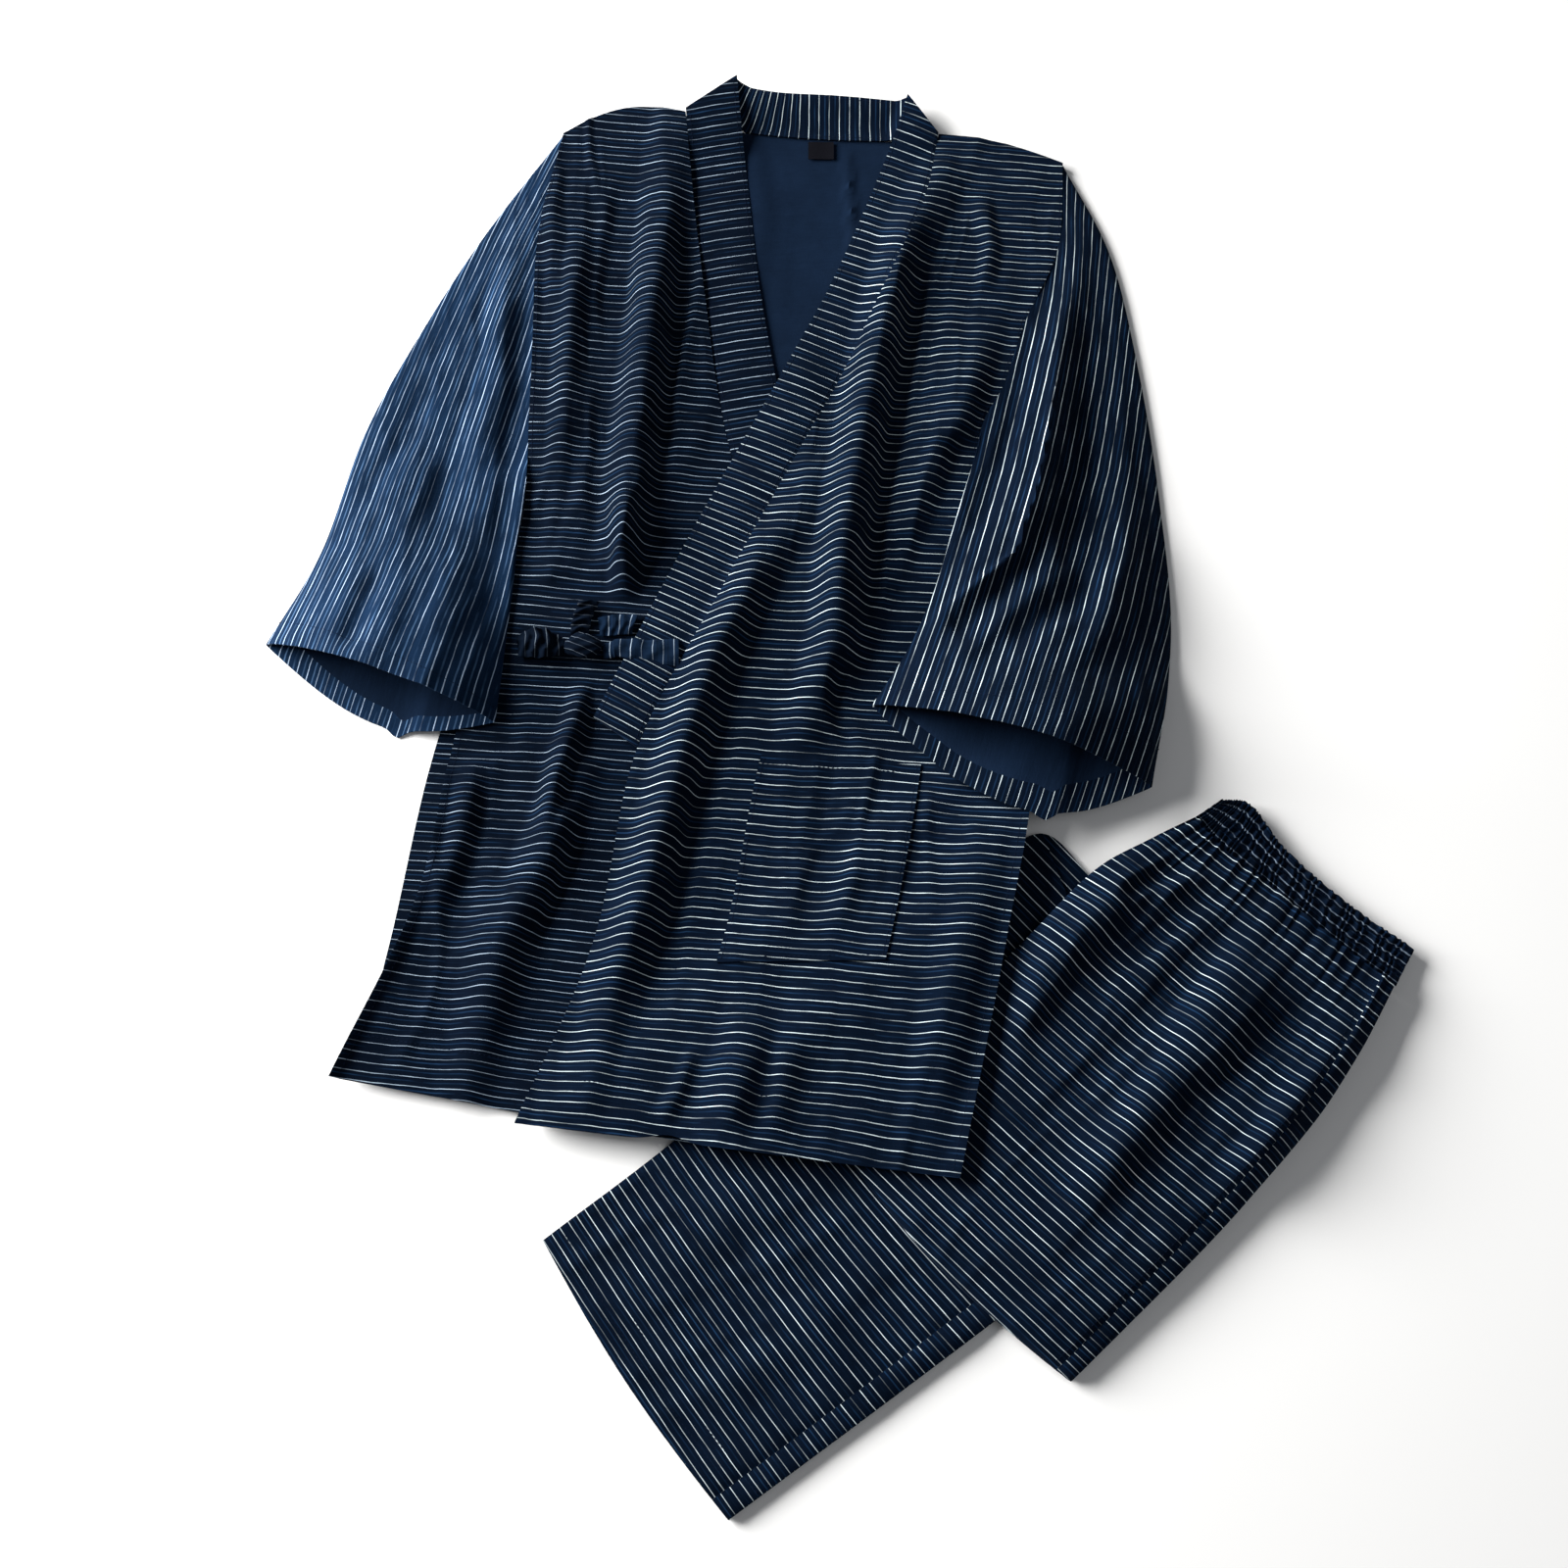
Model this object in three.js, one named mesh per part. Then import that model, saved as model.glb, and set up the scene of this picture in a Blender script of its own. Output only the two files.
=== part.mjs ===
// Kimono pyjama set, laid flat: a wrap-front jacket over a pair of trousers.
// Millimetres, +Z up, lying on Z = 0 with the jacket's neck towards +Y and its front up.
// The tables hold places on the surface the set lies on, measured from the middle of the layout.
import * as THREE from 'three';

// Cloth
const clothWall = 1.6;
const bandWall = 2.4;
const seamGap = 0.3;
const clothStep = clothWall + seamGap;
const bandStep = bandWall + seamGap;

// Stack heights where one piece lies on another
const leftLegCore = 4.2;
const leftLegHeight = leftLegCore + clothWall + 2 * seamGap;
const rightLegCore = 5.4;
const rightLegHeight = rightLegCore + clothWall + 2 * seamGap;
const looseLay = 0.9;

// The middle of the layout's outline, which becomes the part's origin
const layoutMiddle = { x: 33.15, y: 27.63 };

const clothColour = 0x18243a;
const reverseColour = 0x24344f;
const labelColour = 0x0c0e13;

// Jacket fronts, from shoulder to hem. The seam is the collar's, then the free front edge.
const leftFrontRows = [
  { seamX: 121, seamY: 526, sideX: 218, sideY: 501 },
  { seamX: 107, seamY: 462, sideX: 212, sideY: 428 },
  { seamX: 72, seamY: 380, sideX: 186, sideY: 368 },
  { seamX: 35, seamY: 304, sideX: 167, sideY: 313 },
  { seamX: -4, seamY: 230, sideX: 147, sideY: 257 },
  { seamX: -45, seamY: 150, sideX: 176, sideY: 142 },
  { seamX: -107, seamY: 25, sideX: 180, sideY: 8 },
  { seamX: -136, seamY: -118, sideX: 158, sideY: -115 },
  { seamX: -188, seamY: -248, sideX: 121, sideY: -287 },
];
const rightFrontRows = [
  { seamX: -77, seamY: 545, sideX: -173, sideY: 527 },
  { seamX: -69, seamY: 460, sideX: -190, sideY: 440 },
  { seamX: -59, seamY: 375, sideX: -192, sideY: 365 },
  { seamX: -47, seamY: 290, sideX: -193, sideY: 285 },
  { seamX: -28, seamY: 205, sideX: -197, sideY: 200 },
  { seamX: -12, seamY: 110, sideX: -228, sideY: 105 },
  { seamX: -8, seamY: 0, sideX: -244, sideY: 15 },
  { seamX: -8, seamY: -125, sideX: -264, sideY: -90 },
  { seamX: -8, seamY: -272, sideX: -319, sideY: -215 },
];

// How far each shoulder edge bows up between neck and armhole
const rightShoulderBow = 13;
const leftShoulderBow = 5;

// Free edges of the collar's two front bands, one row for each row of the fronts
const leftBandEdge = [
  { x: 97, y: 553 },
  { x: 70, y: 480 },
  { x: 36, y: 398 },
  { x: -1, y: 324 },
  { x: -40, y: 250 },
  { x: -82, y: 168 },
  { x: -139, y: 48 },
];
const rightBandEdge = [
  { x: -37, y: 568 },
  { x: -28, y: 480 },
  { x: -18, y: 390 },
  { x: -4, y: 308 },
  { x: 14, y: 218 },
  { x: 30, y: 118 },
];

// Back: its sides follow the fronts' as far as the armholes, then run 1 to 2 cm inside or outside them
const backSideRows = [
  { leftX: -197, leftY: 200, rightX: 147, rightY: 257 },
  { leftX: -232, leftY: 105, rightX: 174, rightY: 142 },
  { leftX: -259, leftY: 10, rightX: 177, rightY: 8 },
  { leftX: -281, leftY: -112, rightX: 154, rightY: -115 },
  { leftX: -300, leftY: -200, rightX: 118, rightY: -270 },
];
// Height of the back's top edge above the line between its shoulder points
const backNeckRows = [
  { across: 0, rise: 0 },
  { across: 0.06, rise: 14 },
  { across: 0.12, rise: 23 },
  { across: 0.248, rise: 24.5 },
  { across: 0.36, rise: 12.5 },
  { across: 0.51, rise: 11 },
  { across: 0.665, rise: 12 },
  { across: 0.755, rise: 19 },
  { across: 0.87, rise: 9 },
  { across: 1, rise: 0 },
];
// Back of the collar, from the neckline to its top edge, which stands up a little
const collarBackRows = [
  { lowX: -32.6, lowY: 531.8, topX: -36.6, topY: 567 },
  { lowX: 0, lowY: 527.5, topX: -4, topY: 560 },
  { lowX: 40, lowY: 524.6, topX: 44, topY: 557 },
  { lowX: 86, lowY: 523.4, topX: 96.4, topY: 552 },
];
const collarBackStand = 9;
const collarTipStand = 12;

// Sleeves, from armhole to cuff: the fold is the outer edge, the seam the underarm edge
const rightSleeveRows = [
  { foldX: -173, foldY: 527, seamX: -197, seamY: 200 },
  { foldX: -232, foldY: 440, seamX: -199, seamY: 178 },
  { foldX: -279, foldY: 356, seamX: -201, seamY: 150 },
  { foldX: -317, foldY: 275, seamX: -204, seamY: 118 },
  { foldX: -346, foldY: 178, seamX: -207, seamY: 84 },
  { foldX: -383, foldY: 106, seamX: -211, seamY: 45 },
];
const leftSleeveRows = [
  { foldX: 218, foldY: 501, seamX: 147, seamY: 257 },
  { foldX: 252, foldY: 424, seamX: 137, seamY: 232 },
  { foldX: 270, foldY: 330, seamX: 126, seamY: 196 },
  { foldX: 282, foldY: 222, seamX: 112, seamY: 150 },
  { foldX: 286, foldY: 108, seamX: 92, seamY: 103 },
  { foldX: 265, foldY: -7, seamX: 64, seamY: 58 },
];
const cuffRise = 42;
const cuffPuffFrom = 0.45;
const rightCuffSag = 31;
const leftCuffSag = 48;
const sleeveLayGap = 0.8;

// Patch pocket on the left front, as shares of the panel's width and length
const pocketAcross = { from: 0.315, to: 0.72 };
const pocketDown = { from: 6 / 8, to: 7.125 / 8 };

// Left leg, from hem to waist, and right leg, from waist to the end that is folded under
const leftLegRows = [
  { upperX: -167, upperY: -327, lowerX: -37, lowerY: -513 },
  { upperX: -79, upperY: -260, lowerX: 50, lowerY: -451 },
  { upperX: 8, upperY: -185, lowerX: 125, lowerY: -397 },
  { upperX: 96, upperY: -110, lowerX: 196, lowerY: -345 },
  { upperX: 181, upperY: -38, lowerX: 268, lowerY: -288 },
  { upperX: 232, upperY: -76, lowerX: 345, lowerY: -222 },
  { upperX: 296, upperY: -46, lowerX: 410, lowerY: -158 },
];
const leftLegPanelShare = 0.68;
// How far the ends of the legs bow out in the middle
const leftHemBow = 6;
const rightFoldBow = 10;
const rightLegRows = [
  { upperX: 296, upperY: -29, lowerX: 432, lowerY: -152 },
  { upperX: 262, upperY: -45, lowerX: 418, lowerY: -177 },
  { upperX: 221, upperY: -68, lowerX: 402, lowerY: -203 },
  { upperX: 176, upperY: -112, lowerX: 374, lowerY: -243 },
  { upperX: 128, upperY: -160, lowerX: 334, lowerY: -288 },
  { upperX: 80, upperY: -208, lowerX: 288, lowerY: -336 },
  { upperX: 32, upperY: -256, lowerX: 196, lowerY: -423 },
];
// Gathered elastic waistband, from its folded end to its other end
const waistbandRows = [
  { lowX: 296, lowY: -29, topX: 317, topY: -14 },
  { lowX: 312, lowY: -50, topX: 338, topY: -18 },
  { lowX: 348, lowY: -81, topX: 362, topY: -52 },
  { lowX: 390, lowY: -119, topX: 404, topY: -91 },
  { lowX: 432, lowY: -152, topX: 449, topY: -124 },
];
const waistbandGathers = 22;
const gatherDepth = 1.3;
const waistbandCore = 5.4;

// Folds: soft ridges, each a line of places with its height and half width
const rightFrontFolds = [
  { height: 17, halfWidth: 24, line: [[-88, 528], [-104, 345], [-114, 248], [-122, 150]] },
  { height: 8, halfWidth: 16, line: [[-160, 470], [-164, 330], [-168, 210]] },
  { height: 13, halfWidth: 26, line: [[-148, 0], [-169, -47], [-202, -119], [-222, -225]] },
  { height: 7, halfWidth: 17, line: [[-226, 20], [-234, -40], [-256, -110]] },
];
const leftFrontFolds = [
  {
    height: 19,
    halfWidth: 25,
    line: [[122, 490], [97, 437], [79, 377], [59, 280], [44, 178], [36, 100], [14, 41]],
  },
  {
    height: 15,
    halfWidth: 24,
    line: [[24, 235], [-20, 162], [-52, 95], [-73, 26], [-98, -76], [-118, -147], [-140, -225]],
  },
  { height: 9, halfWidth: 22, line: [[154, 370], [128, 270], [102, 178]] },
  { height: 4, halfWidth: 26, line: [[60, 20], [48, -76], [24, -150]] },
  { height: 9, halfWidth: 24, line: [[-20, -160], [-34, -210], [-44, -262]] },
  { height: 8, halfWidth: 26, line: [[140, -60], [122, -150], [98, -255]] },
];
const rightSleeveFolds = [
  { height: 12, halfWidth: 22, line: [[-203, 440], [-216, 330], [-232, 240], [-250, 120]] },
  { height: 8, halfWidth: 20, line: [[-262, 300], [-284, 220], [-310, 130]] },
];
const leftSleeveFolds = [
  { height: 13, halfWidth: 24, line: [[226, 440], [206, 330], [180, 215], [136, 150]] },
  { height: 9, halfWidth: 22, line: [[256, 330], [252, 200], [232, 90]] },
];
const rightLegFolds = [
  { height: 12, halfWidth: 20, line: [[276, -62], [235, -90], [190, -140], [137, -237]] },
  { height: 13, halfWidth: 22, line: [[338, -112], [288, -180], [240, -255], [185, -330]] },
  { height: 9, halfWidth: 17, line: [[390, -160], [350, -235], [290, -310]] },
  { height: 7, halfWidth: 14, line: [[308, -82], [268, -128], [228, -176]] },
];
const leftLegFolds = [
  { height: 3, halfWidth: 30, line: [[-110, -370], [-10, -290], [60, -240]] },
  { height: 2.5, halfWidth: 26, line: [[-60, -440], [50, -370]] },
];

// Tie: straps, loops and knot, on the right front beside the collar's lower end
const tieStrapRows = [
  { upperX: -78, upperY: 106, lowerX: -78, lowerY: 89 },
  { upperX: -106, upperY: 108, lowerX: -106, lowerY: 91 },
  { upperX: -133, upperY: 108, lowerX: -133, lowerY: 94 },
];
const tieUpperStrapRows = [
  { upperX: -108, upperY: 128, lowerX: -112, lowerY: 113 },
  { upperX: -124, upperY: 128, lowerX: -125, lowerY: 112 },
  { upperX: -138, upperY: 126, lowerX: -136, lowerY: 113 },
];
const tieUpLoopRows = [
  { upperX: -136, upperY: 137, lowerX: -152, lowerY: 139 },
  { upperX: -142, upperY: 126, lowerX: -156, lowerY: 126 },
  { upperX: -144, upperY: 113, lowerX: -157, lowerY: 113 },
];
const tieSideLoopRows = [
  { upperX: -163, upperY: 109, lowerX: -163, lowerY: 97 },
  { upperX: -180, upperY: 116, lowerX: -180, lowerY: 92 },
  { upperX: -197, upperY: 110, lowerX: -196, lowerY: 94 },
];
const tieLoopRise = 7;
const tieKnot = { x: -148, y: 102.5, halfLength: 14, halfWidth: 9, halfHeight: 6 };

// Bare label under the back neck
const label = { x: 29, y: 513.5, width: 20, height: 15, wall: 1 };

// Small numeric helpers
function softStep(share) {
  const t = Math.min(1, Math.max(0, share));
  return t * t * (3 - 2 * t);
}

function mix(a, b, share) {
  return a + (b - a) * share;
}

// Smooth curve through the rows of a table, for one named column
function column(rows, name, share) {
  const place = Math.min(1, Math.max(0, share)) * (rows.length - 1);
  const start = Math.min(rows.length - 2, Math.floor(place));
  const t = place - start;
  const value = (index) => {
    if (index < 0) return 2 * rows[0][name] - rows[1][name];
    if (index >= rows.length) return 2 * rows[rows.length - 1][name] - rows[rows.length - 2][name];
    return rows[index][name];
  };
  const [a, b, c, d] = [value(start - 1), value(start), value(start + 1), value(start + 2)];
  return 0.5 * (2 * b + (c - a) * t + (2 * a - 5 * b + 4 * c - d) * t ** 2
    + (3 * b - 3 * c + d - a) * t ** 3);
}

function steps(count, from = 0, to = 1) {
  return Array.from({ length: count + 1 }, (_, index) => mix(from, to, index / count));
}

// How far a place lies outside a closed outline, 0 inside it
function distanceOutside(outline, x, y) {
  let nearest = Infinity;
  let inside = false;
  outline.forEach(([ax, ay], index) => {
    const [bx, by] = outline[(index + 1) % outline.length];
    const along = ((x - ax) * (bx - ax) + (y - ay) * (by - ay)) / ((bx - ax) ** 2 + (by - ay) ** 2);
    const t = Math.min(1, Math.max(0, along));
    nearest = Math.min(nearest, Math.hypot(x - mix(ax, bx, t), y - mix(ay, by, t)));
    if (ay > y !== by > y && x < ax + ((y - ay) / (by - ay)) * (bx - ax)) inside = !inside;
  });
  return inside ? 0 : nearest;
}

// 1 over a piece and for a margin around it, then a soft fall to 0 over a reach
function over(outline, x, y, margin, reach) {
  return 1 - softStep((distanceOutside(outline, x, y) - margin) / reach);
}

// Height that a list of soft ridges adds at a place
function foldHeight(folds, x, y) {
  let height = 0;
  for (const fold of folds) {
    let nearest = Infinity;
    let taper = 1;
    const pieces = fold.line.length - 1;
    for (let index = 0; index < pieces; index += 1) {
      const [ax, ay] = fold.line[index];
      const [bx, by] = fold.line[index + 1];
      const along = ((x - ax) * (bx - ax) + (y - ay) * (by - ay)) / ((bx - ax) ** 2 + (by - ay) ** 2);
      const t = Math.min(1, Math.max(0, along));
      const distance = Math.hypot(x - mix(ax, bx, t), y - mix(ay, by, t));
      if (distance < nearest) {
        nearest = distance;
        const travelled = (index + t) / pieces;
        taper = softStep(travelled / 0.3) * softStep((1 - travelled) / 0.3);
      }
    }
    const share = Math.min(1, nearest / fold.halfWidth);
    height += fold.height * (0.25 + 0.75 * taper) * (1 - share * share) ** 2;
  }
  return height;
}

// Outlines of whole pieces, for what lies on them
function outlineOf(rows, sideA, sideB, samples = 16) {
  const down = steps(samples).map((v) => [column(rows, `${sideA}X`, v), column(rows, `${sideA}Y`, v)]);
  const up = steps(samples).map((v) => [column(rows, `${sideB}X`, 1 - v), column(rows, `${sideB}Y`, 1 - v)]);
  return [...down, ...up];
}

const leftLegOutline = outlineOf(leftLegRows, 'upper', 'lower');
const rightLegOutline = outlineOf(rightLegRows, 'upper', 'lower');
const rightFrontOutline = outlineOf(rightFrontRows, 'seam', 'side');
const leftFrontOutline = outlineOf(leftFrontRows, 'seam', 'side');
// The right front with its band, as the left front lies on it
const rightWholeOutline = [
  ...rightBandEdge.map(({ x, y }) => [x, y]),
  [-6, 60],
  [-8, -255],
  ...steps(12).map((v) => [column(rightFrontRows, 'sideX', 1 - v), column(rightFrontRows, 'sideY', 1 - v)]),
];

// Heights of the undersides of the jacket's layers. Each layer bridges further out over an edge below it.
const jacketReach = 50;
const bridge = { core: 6, legPanel: 22, back: 26, rightFront: 40, leftFront: 54, sleeve: 84 };
function overTrousers(x, y, margin) {
  return (leftLegHeight + looseLay) * over(leftLegOutline, x, y, margin, jacketReach)
    + (rightLegHeight + looseLay) * over(rightLegOutline, x, y, margin, jacketReach);
}

function backFloor(x, y) {
  return overTrousers(x, y, bridge.back);
}

// Places on the right front that the left front, the right cuff and the tie lie on
const underLeftFront = [
  ...leftBandEdge.slice(2).map((place) => [place.x, place.y]),
  ...leftFrontRows.slice(6).map((row) => [row.seamX, row.seamY]),
  [300, -287],
  [300, 398],
];
const underRightCuff = [[-197, 200], [-383, 104], [-320, 44], [-262, 26], [-211, 36]];
const underTie = { x: -138, y: 110, longer: 1.7, clear: 42, reach: 24 };

// 0 within a margin of an outline and 1 beyond a reach from there
function clearOf(outline, x, y, margin, reach) {
  return softStep((distanceOutside(outline, x, y) - margin) / reach);
}

function rightFrontOpen(x, y) {
  const fromTie = Math.hypot((x - underTie.x) / underTie.longer, y - underTie.y);
  const besideCollar = softStep((-x - 52) / 22);
  return clearOf(underLeftFront, x, y, 17, 26) * clearOf(underRightCuff, x, y, 8, 20)
    * softStep((fromTie - underTie.clear) / underTie.reach) * besideCollar;
}

function rightFrontFloor(x, y) {
  const open = rightFrontOpen(x, y);
  return overTrousers(x, y, bridge.rightFront) + clothStep + foldHeight(rightFrontFolds, x, y) * open;
}

// Places on the left front that the left sleeve and its sagging cuff lie on
const underLeftSleeve = [
  [230, 260], [140, 250], [120, 193], [60, 60], [64, 50], [93, 20],
  [128, -8], [163, -24], [192, -38], [230, -38], [290, -15],
];

function leftFrontFloor(x, y) {
  const covered = bandStep * over(rightWholeOutline, x, y, 17, 30);
  const folds = foldHeight(leftFrontFolds, x, y) * clearOf(underLeftSleeve, x, y, 8, 24);
  return overTrousers(x, y, bridge.leftFront) + clothStep + covered + folds;
}

// Floor of the right leg and of the waistband, which lie partly on the left leg
const legReach = 42;
function overLeftLeg(x, y, margin) {
  return (leftLegHeight + looseLay) * over(leftLegOutline, x, y, margin, legReach);
}

// Geometry from lists of corners and triangles
function meshOf(name, colour, corners, triangles) {
  const geometry = new THREE.BufferGeometry();
  geometry.setAttribute('position', new THREE.Float32BufferAttribute(corners.flat(), 3));
  geometry.setIndex(triangles.flat());
  geometry.computeVertexNormals();
  const material = new THREE.MeshStandardMaterial({ color: colour, roughness: 0.92, metalness: 0 });
  const mesh = new THREE.Mesh(geometry, material);
  mesh.name = name;
  return mesh;
}

// The rim of a grid of places, once round
function rimOf(rowCount, columnCount) {
  const rim = [];
  for (let i = 0; i < columnCount; i += 1) rim.push([0, i]);
  for (let j = 0; j < rowCount; j += 1) rim.push([j, columnCount]);
  for (let i = columnCount; i > 0; i -= 1) rim.push([rowCount, i]);
  for (let j = rowCount; j > 0; j -= 1) rim.push([j, 0]);
  return rim;
}

// A wall of cloth, or a rounded stack of hidden layers, over a grid of places [row][column] = [x, y].
// Each entry of edge is a loop round the rim, let in from it, at a share of the wall's height.
function slab(name, colour, places, floorAt, wall, edge = []) {
  const rowCount = places.length - 1;
  const columnCount = places[0].length - 1;
  const width = columnCount + 1;
  const corners = [];
  const flat = places.flat();
  const floors = flat.map(([x, y]) => floorAt(x, y));
  flat.forEach(([x, y], index) => corners.push([x, y, floors[index]]));
  flat.forEach(([x, y], index) => corners.push([x, y, floors[index] + wall]));
  const topStart = flat.length;
  const [p, q, r] = [places[0][0], places[0][columnCount], places[rowCount][0]];
  const turn = (q[0] - p[0]) * (r[1] - p[1]) - (q[1] - p[1]) * (r[0] - p[0]) > 0 ? 1 : -1;
  const triangles = [];
  const face = (a, b, c) => triangles.push(turn > 0 ? [a, b, c] : [a, c, b]);
  for (let j = 0; j < rowCount; j += 1) {
    for (let i = 0; i < columnCount; i += 1) {
      const a = j * width + i;
      const [b, c, d] = [a + 1, a + width + 1, a + width];
      face(topStart + a, topStart + b, topStart + c);
      face(topStart + a, topStart + c, topStart + d);
      face(a, c, b);
      face(a, d, c);
    }
  }
  const rim = rimOf(rowCount, columnCount).map(([j, i]) => j * width + i);
  const loops = [rim];
  for (const { inset, share } of edge) {
    loops.push(rim.map((corner, k) => {
      const before = flat[rim[(k + rim.length - 1) % rim.length]];
      const after = flat[rim[(k + 1) % rim.length]];
      const [tx, ty] = [after[0] - before[0], after[1] - before[1]];
      const length = Math.hypot(tx, ty);
      const [x, y] = flat[corner];
      corners.push([x - turn * (ty / length) * inset, y + turn * (tx / length) * inset,
        floors[corner] + wall * share]);
      return corners.length - 1;
    }));
  }
  loops.push(rim.map((corner) => topStart + corner));
  for (let level = 0; level < loops.length - 1; level += 1) {
    rim.forEach((_, k) => {
      const next = (k + 1) % rim.length;
      face(loops[level][k], loops[level][next], loops[level + 1][next]);
      face(loops[level][k], loops[level + 1][next], loops[level + 1][k]);
    });
  }
  return meshOf(name, colour, corners, triangles);
}

// Grid of places between two edges of a table, with a margin let in at each edge
function between(rows, sideA, sideB, down, across, letInA = 0, letInB = 0) {
  return down.map((v) => {
    const [ax, ay] = [column(rows, `${sideA}X`, v), column(rows, `${sideA}Y`, v)];
    const [bx, by] = [column(rows, `${sideB}X`, v), column(rows, `${sideB}Y`, v)];
    const width = Math.hypot(bx - ax, by - ay);
    return across.map((u) => {
      const share = mix(letInA / width, 1 - letInB / width, u);
      return [mix(ax, bx, share), mix(ay, by, share)];
    });
  });
}

// Moves the places near a leg's end outwards along the leg, most in the middle of its width
function bowed([x, y], [towardX, towardY], bow) {
  const length = Math.hypot(towardX, towardY);
  return [x + (towardX / length) * bow, y + (towardY / length) * bow];
}

function leftLegPlaces(down, across, letIn) {
  const [hem, afterHem] = leftLegRows;
  const outward = [hem.lowerX - afterHem.lowerX, hem.lowerY - afterHem.lowerY];
  const plain = between(leftLegRows, 'upper', 'lower', down, across, letIn, letIn);
  return plain.map((row, j) => row.map((place, i) => {
    const bow = leftHemBow * Math.sin(Math.PI * across[i]) * (1 - softStep(down[j] / 0.2));
    return bowed(place, outward, bow);
  }));
}

// Places of the right leg, whose first row follows the curved lower edge of the waistband
function rightLegPlaces(down, across, letIn) {
  const [beforeEnd, end] = rightLegRows.slice(-2);
  const outward = [end.upperX - beforeEnd.upperX, end.upperY - beforeEnd.upperY];
  const plain = between(rightLegRows, 'upper', 'lower', down, across, letIn, letIn);
  return plain.map((row, j) => row.map(([x, y], i) => {
    const u = mix(0.01, 0.99, across[i]);
    const bendX = column(waistbandRows, 'lowX', u) - mix(waistbandRows[0].lowX, waistbandRows.at(-1).lowX, u);
    const bendY = column(waistbandRows, 'lowY', u) - mix(waistbandRows[0].lowY, waistbandRows.at(-1).lowY, u);
    const keep = (1 - down[j]) ** 3;
    const bow = rightFoldBow * Math.sin(Math.PI * across[i]) * softStep((down[j] - 0.75) / 0.25);
    return bowed([x + bendX * keep, y + bendY * keep], outward, bow);
  }));
}

// Stations shared by the jacket's pieces, so that edges that meet have the same corners
const armholeSteps = 8;
const sideStations = [4.5, 5, 5.5, 6, 6.38, 6.75, 7.125, 7.35, 7.57, 7.79, 8].map((row) => row / 8);
const bodyDown = [...steps(armholeSteps, 0, 0.5), ...sideStations];
const bodyAcross = [
  0, 0.08, 0.16, 0.24, pocketAcross.from, 0.39, 0.47, 0.55, 0.63, pocketAcross.to, 0.79, 0.87, 0.94, 1,
];
const backNeckAcross = [
  0, 0.06, 0.12, 0.18, 0.248, 0.3, 0.36, 0.41, 0.46, 0.51, 0.56, 0.61, 0.665, 0.71, 0.755, 0.81, 0.87, 0.94, 1,
];
const pocketRows = [bodyDown.indexOf(pocketDown.from), bodyDown.indexOf(pocketDown.to)];
const pocketColumns = [bodyAcross.indexOf(pocketAcross.from), bodyAcross.indexOf(pocketAcross.to)];

function neckRise(u) {
  const next = Math.max(1, backNeckRows.findIndex((row) => row.across >= u));
  const [a, b] = [backNeckRows[next - 1], backNeckRows[next]];
  return mix(a.rise, b.rise, (u - a.across) / (b.across - a.across));
}

// The neckline's rise fades out down the back
const neckRiseEnds = 0.35;

function jacketBack() {
  const places = bodyDown.map((v) => {
    const high = v <= 0.5;
    const t = (v - 0.5) * 2;
    const left = high
      ? [column(rightFrontRows, 'sideX', v), column(rightFrontRows, 'sideY', v)]
      : [column(backSideRows, 'leftX', t), column(backSideRows, 'leftY', t)];
    const right = high
      ? [column(leftFrontRows, 'sideX', v), column(leftFrontRows, 'sideY', v)]
      : [column(backSideRows, 'rightX', t), column(backSideRows, 'rightY', t)];
    return backNeckAcross.map((u) => {
      const rise = neckRise(u) * (1 - softStep(v / neckRiseEnds));
      return [mix(left[0], right[0], u), mix(left[1], right[1], u) + rise];
    });
  });
  return slab('jacket_back', reverseColour, places, backFloor, clothWall);
}

// A front panel's places. Its shoulder edge bows up between neck and armhole.
function frontPlaces(rows, across, shoulderBow) {
  return between(rows, 'seam', 'side', bodyDown, across, seamGap, 0).map((row, j) => row.map(([x, y], i) => {
    const bow = shoulderBow * Math.sin(Math.PI * across[i]) * (1 - softStep(bodyDown[j] / 0.12));
    return [x, y + bow];
  }));
}

const rightFrontPlaces = frontPlaces(rightFrontRows, steps(12), rightShoulderBow);
const leftFrontPlaces = frontPlaces(leftFrontRows, bodyAcross, leftShoulderBow);

// The front bands of the collar share the fronts' rows and rise towards the neck
function bandPlaces(frontRows, edgeRows) {
  const bandEnd = (edgeRows.length - 1) / (frontRows.length - 1);
  return bodyDown.filter((v) => v <= bandEnd).map((v) => {
    const share = v / bandEnd;
    const seam = [column(frontRows, 'seamX', v), column(frontRows, 'seamY', v)];
    const edge = [column(edgeRows, 'x', share), column(edgeRows, 'y', share)];
    return [0, 0.33, 0.67, 1].map((u) => [mix(seam[0], edge[0], u), mix(seam[1], edge[1], u)]);
  });
}

function tipStand(x, y) {
  return collarTipStand * softStep((y - 470) / 95) ** 2;
}

function jacketFronts() {
  const patch = leftFrontPlaces.slice(pocketRows[0], pocketRows[1] + 1)
    .map((row) => row.slice(pocketColumns[0], pocketColumns[1] + 1));
  return [
    slab('jacket_right_front', clothColour, rightFrontPlaces, rightFrontFloor, clothWall),
    slab('jacket_left_front', clothColour, leftFrontPlaces, leftFrontFloor, clothWall),
    slab('pocket', clothColour, patch, (x, y) => leftFrontFloor(x, y) + clothStep, clothWall),
  ];
}

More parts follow.
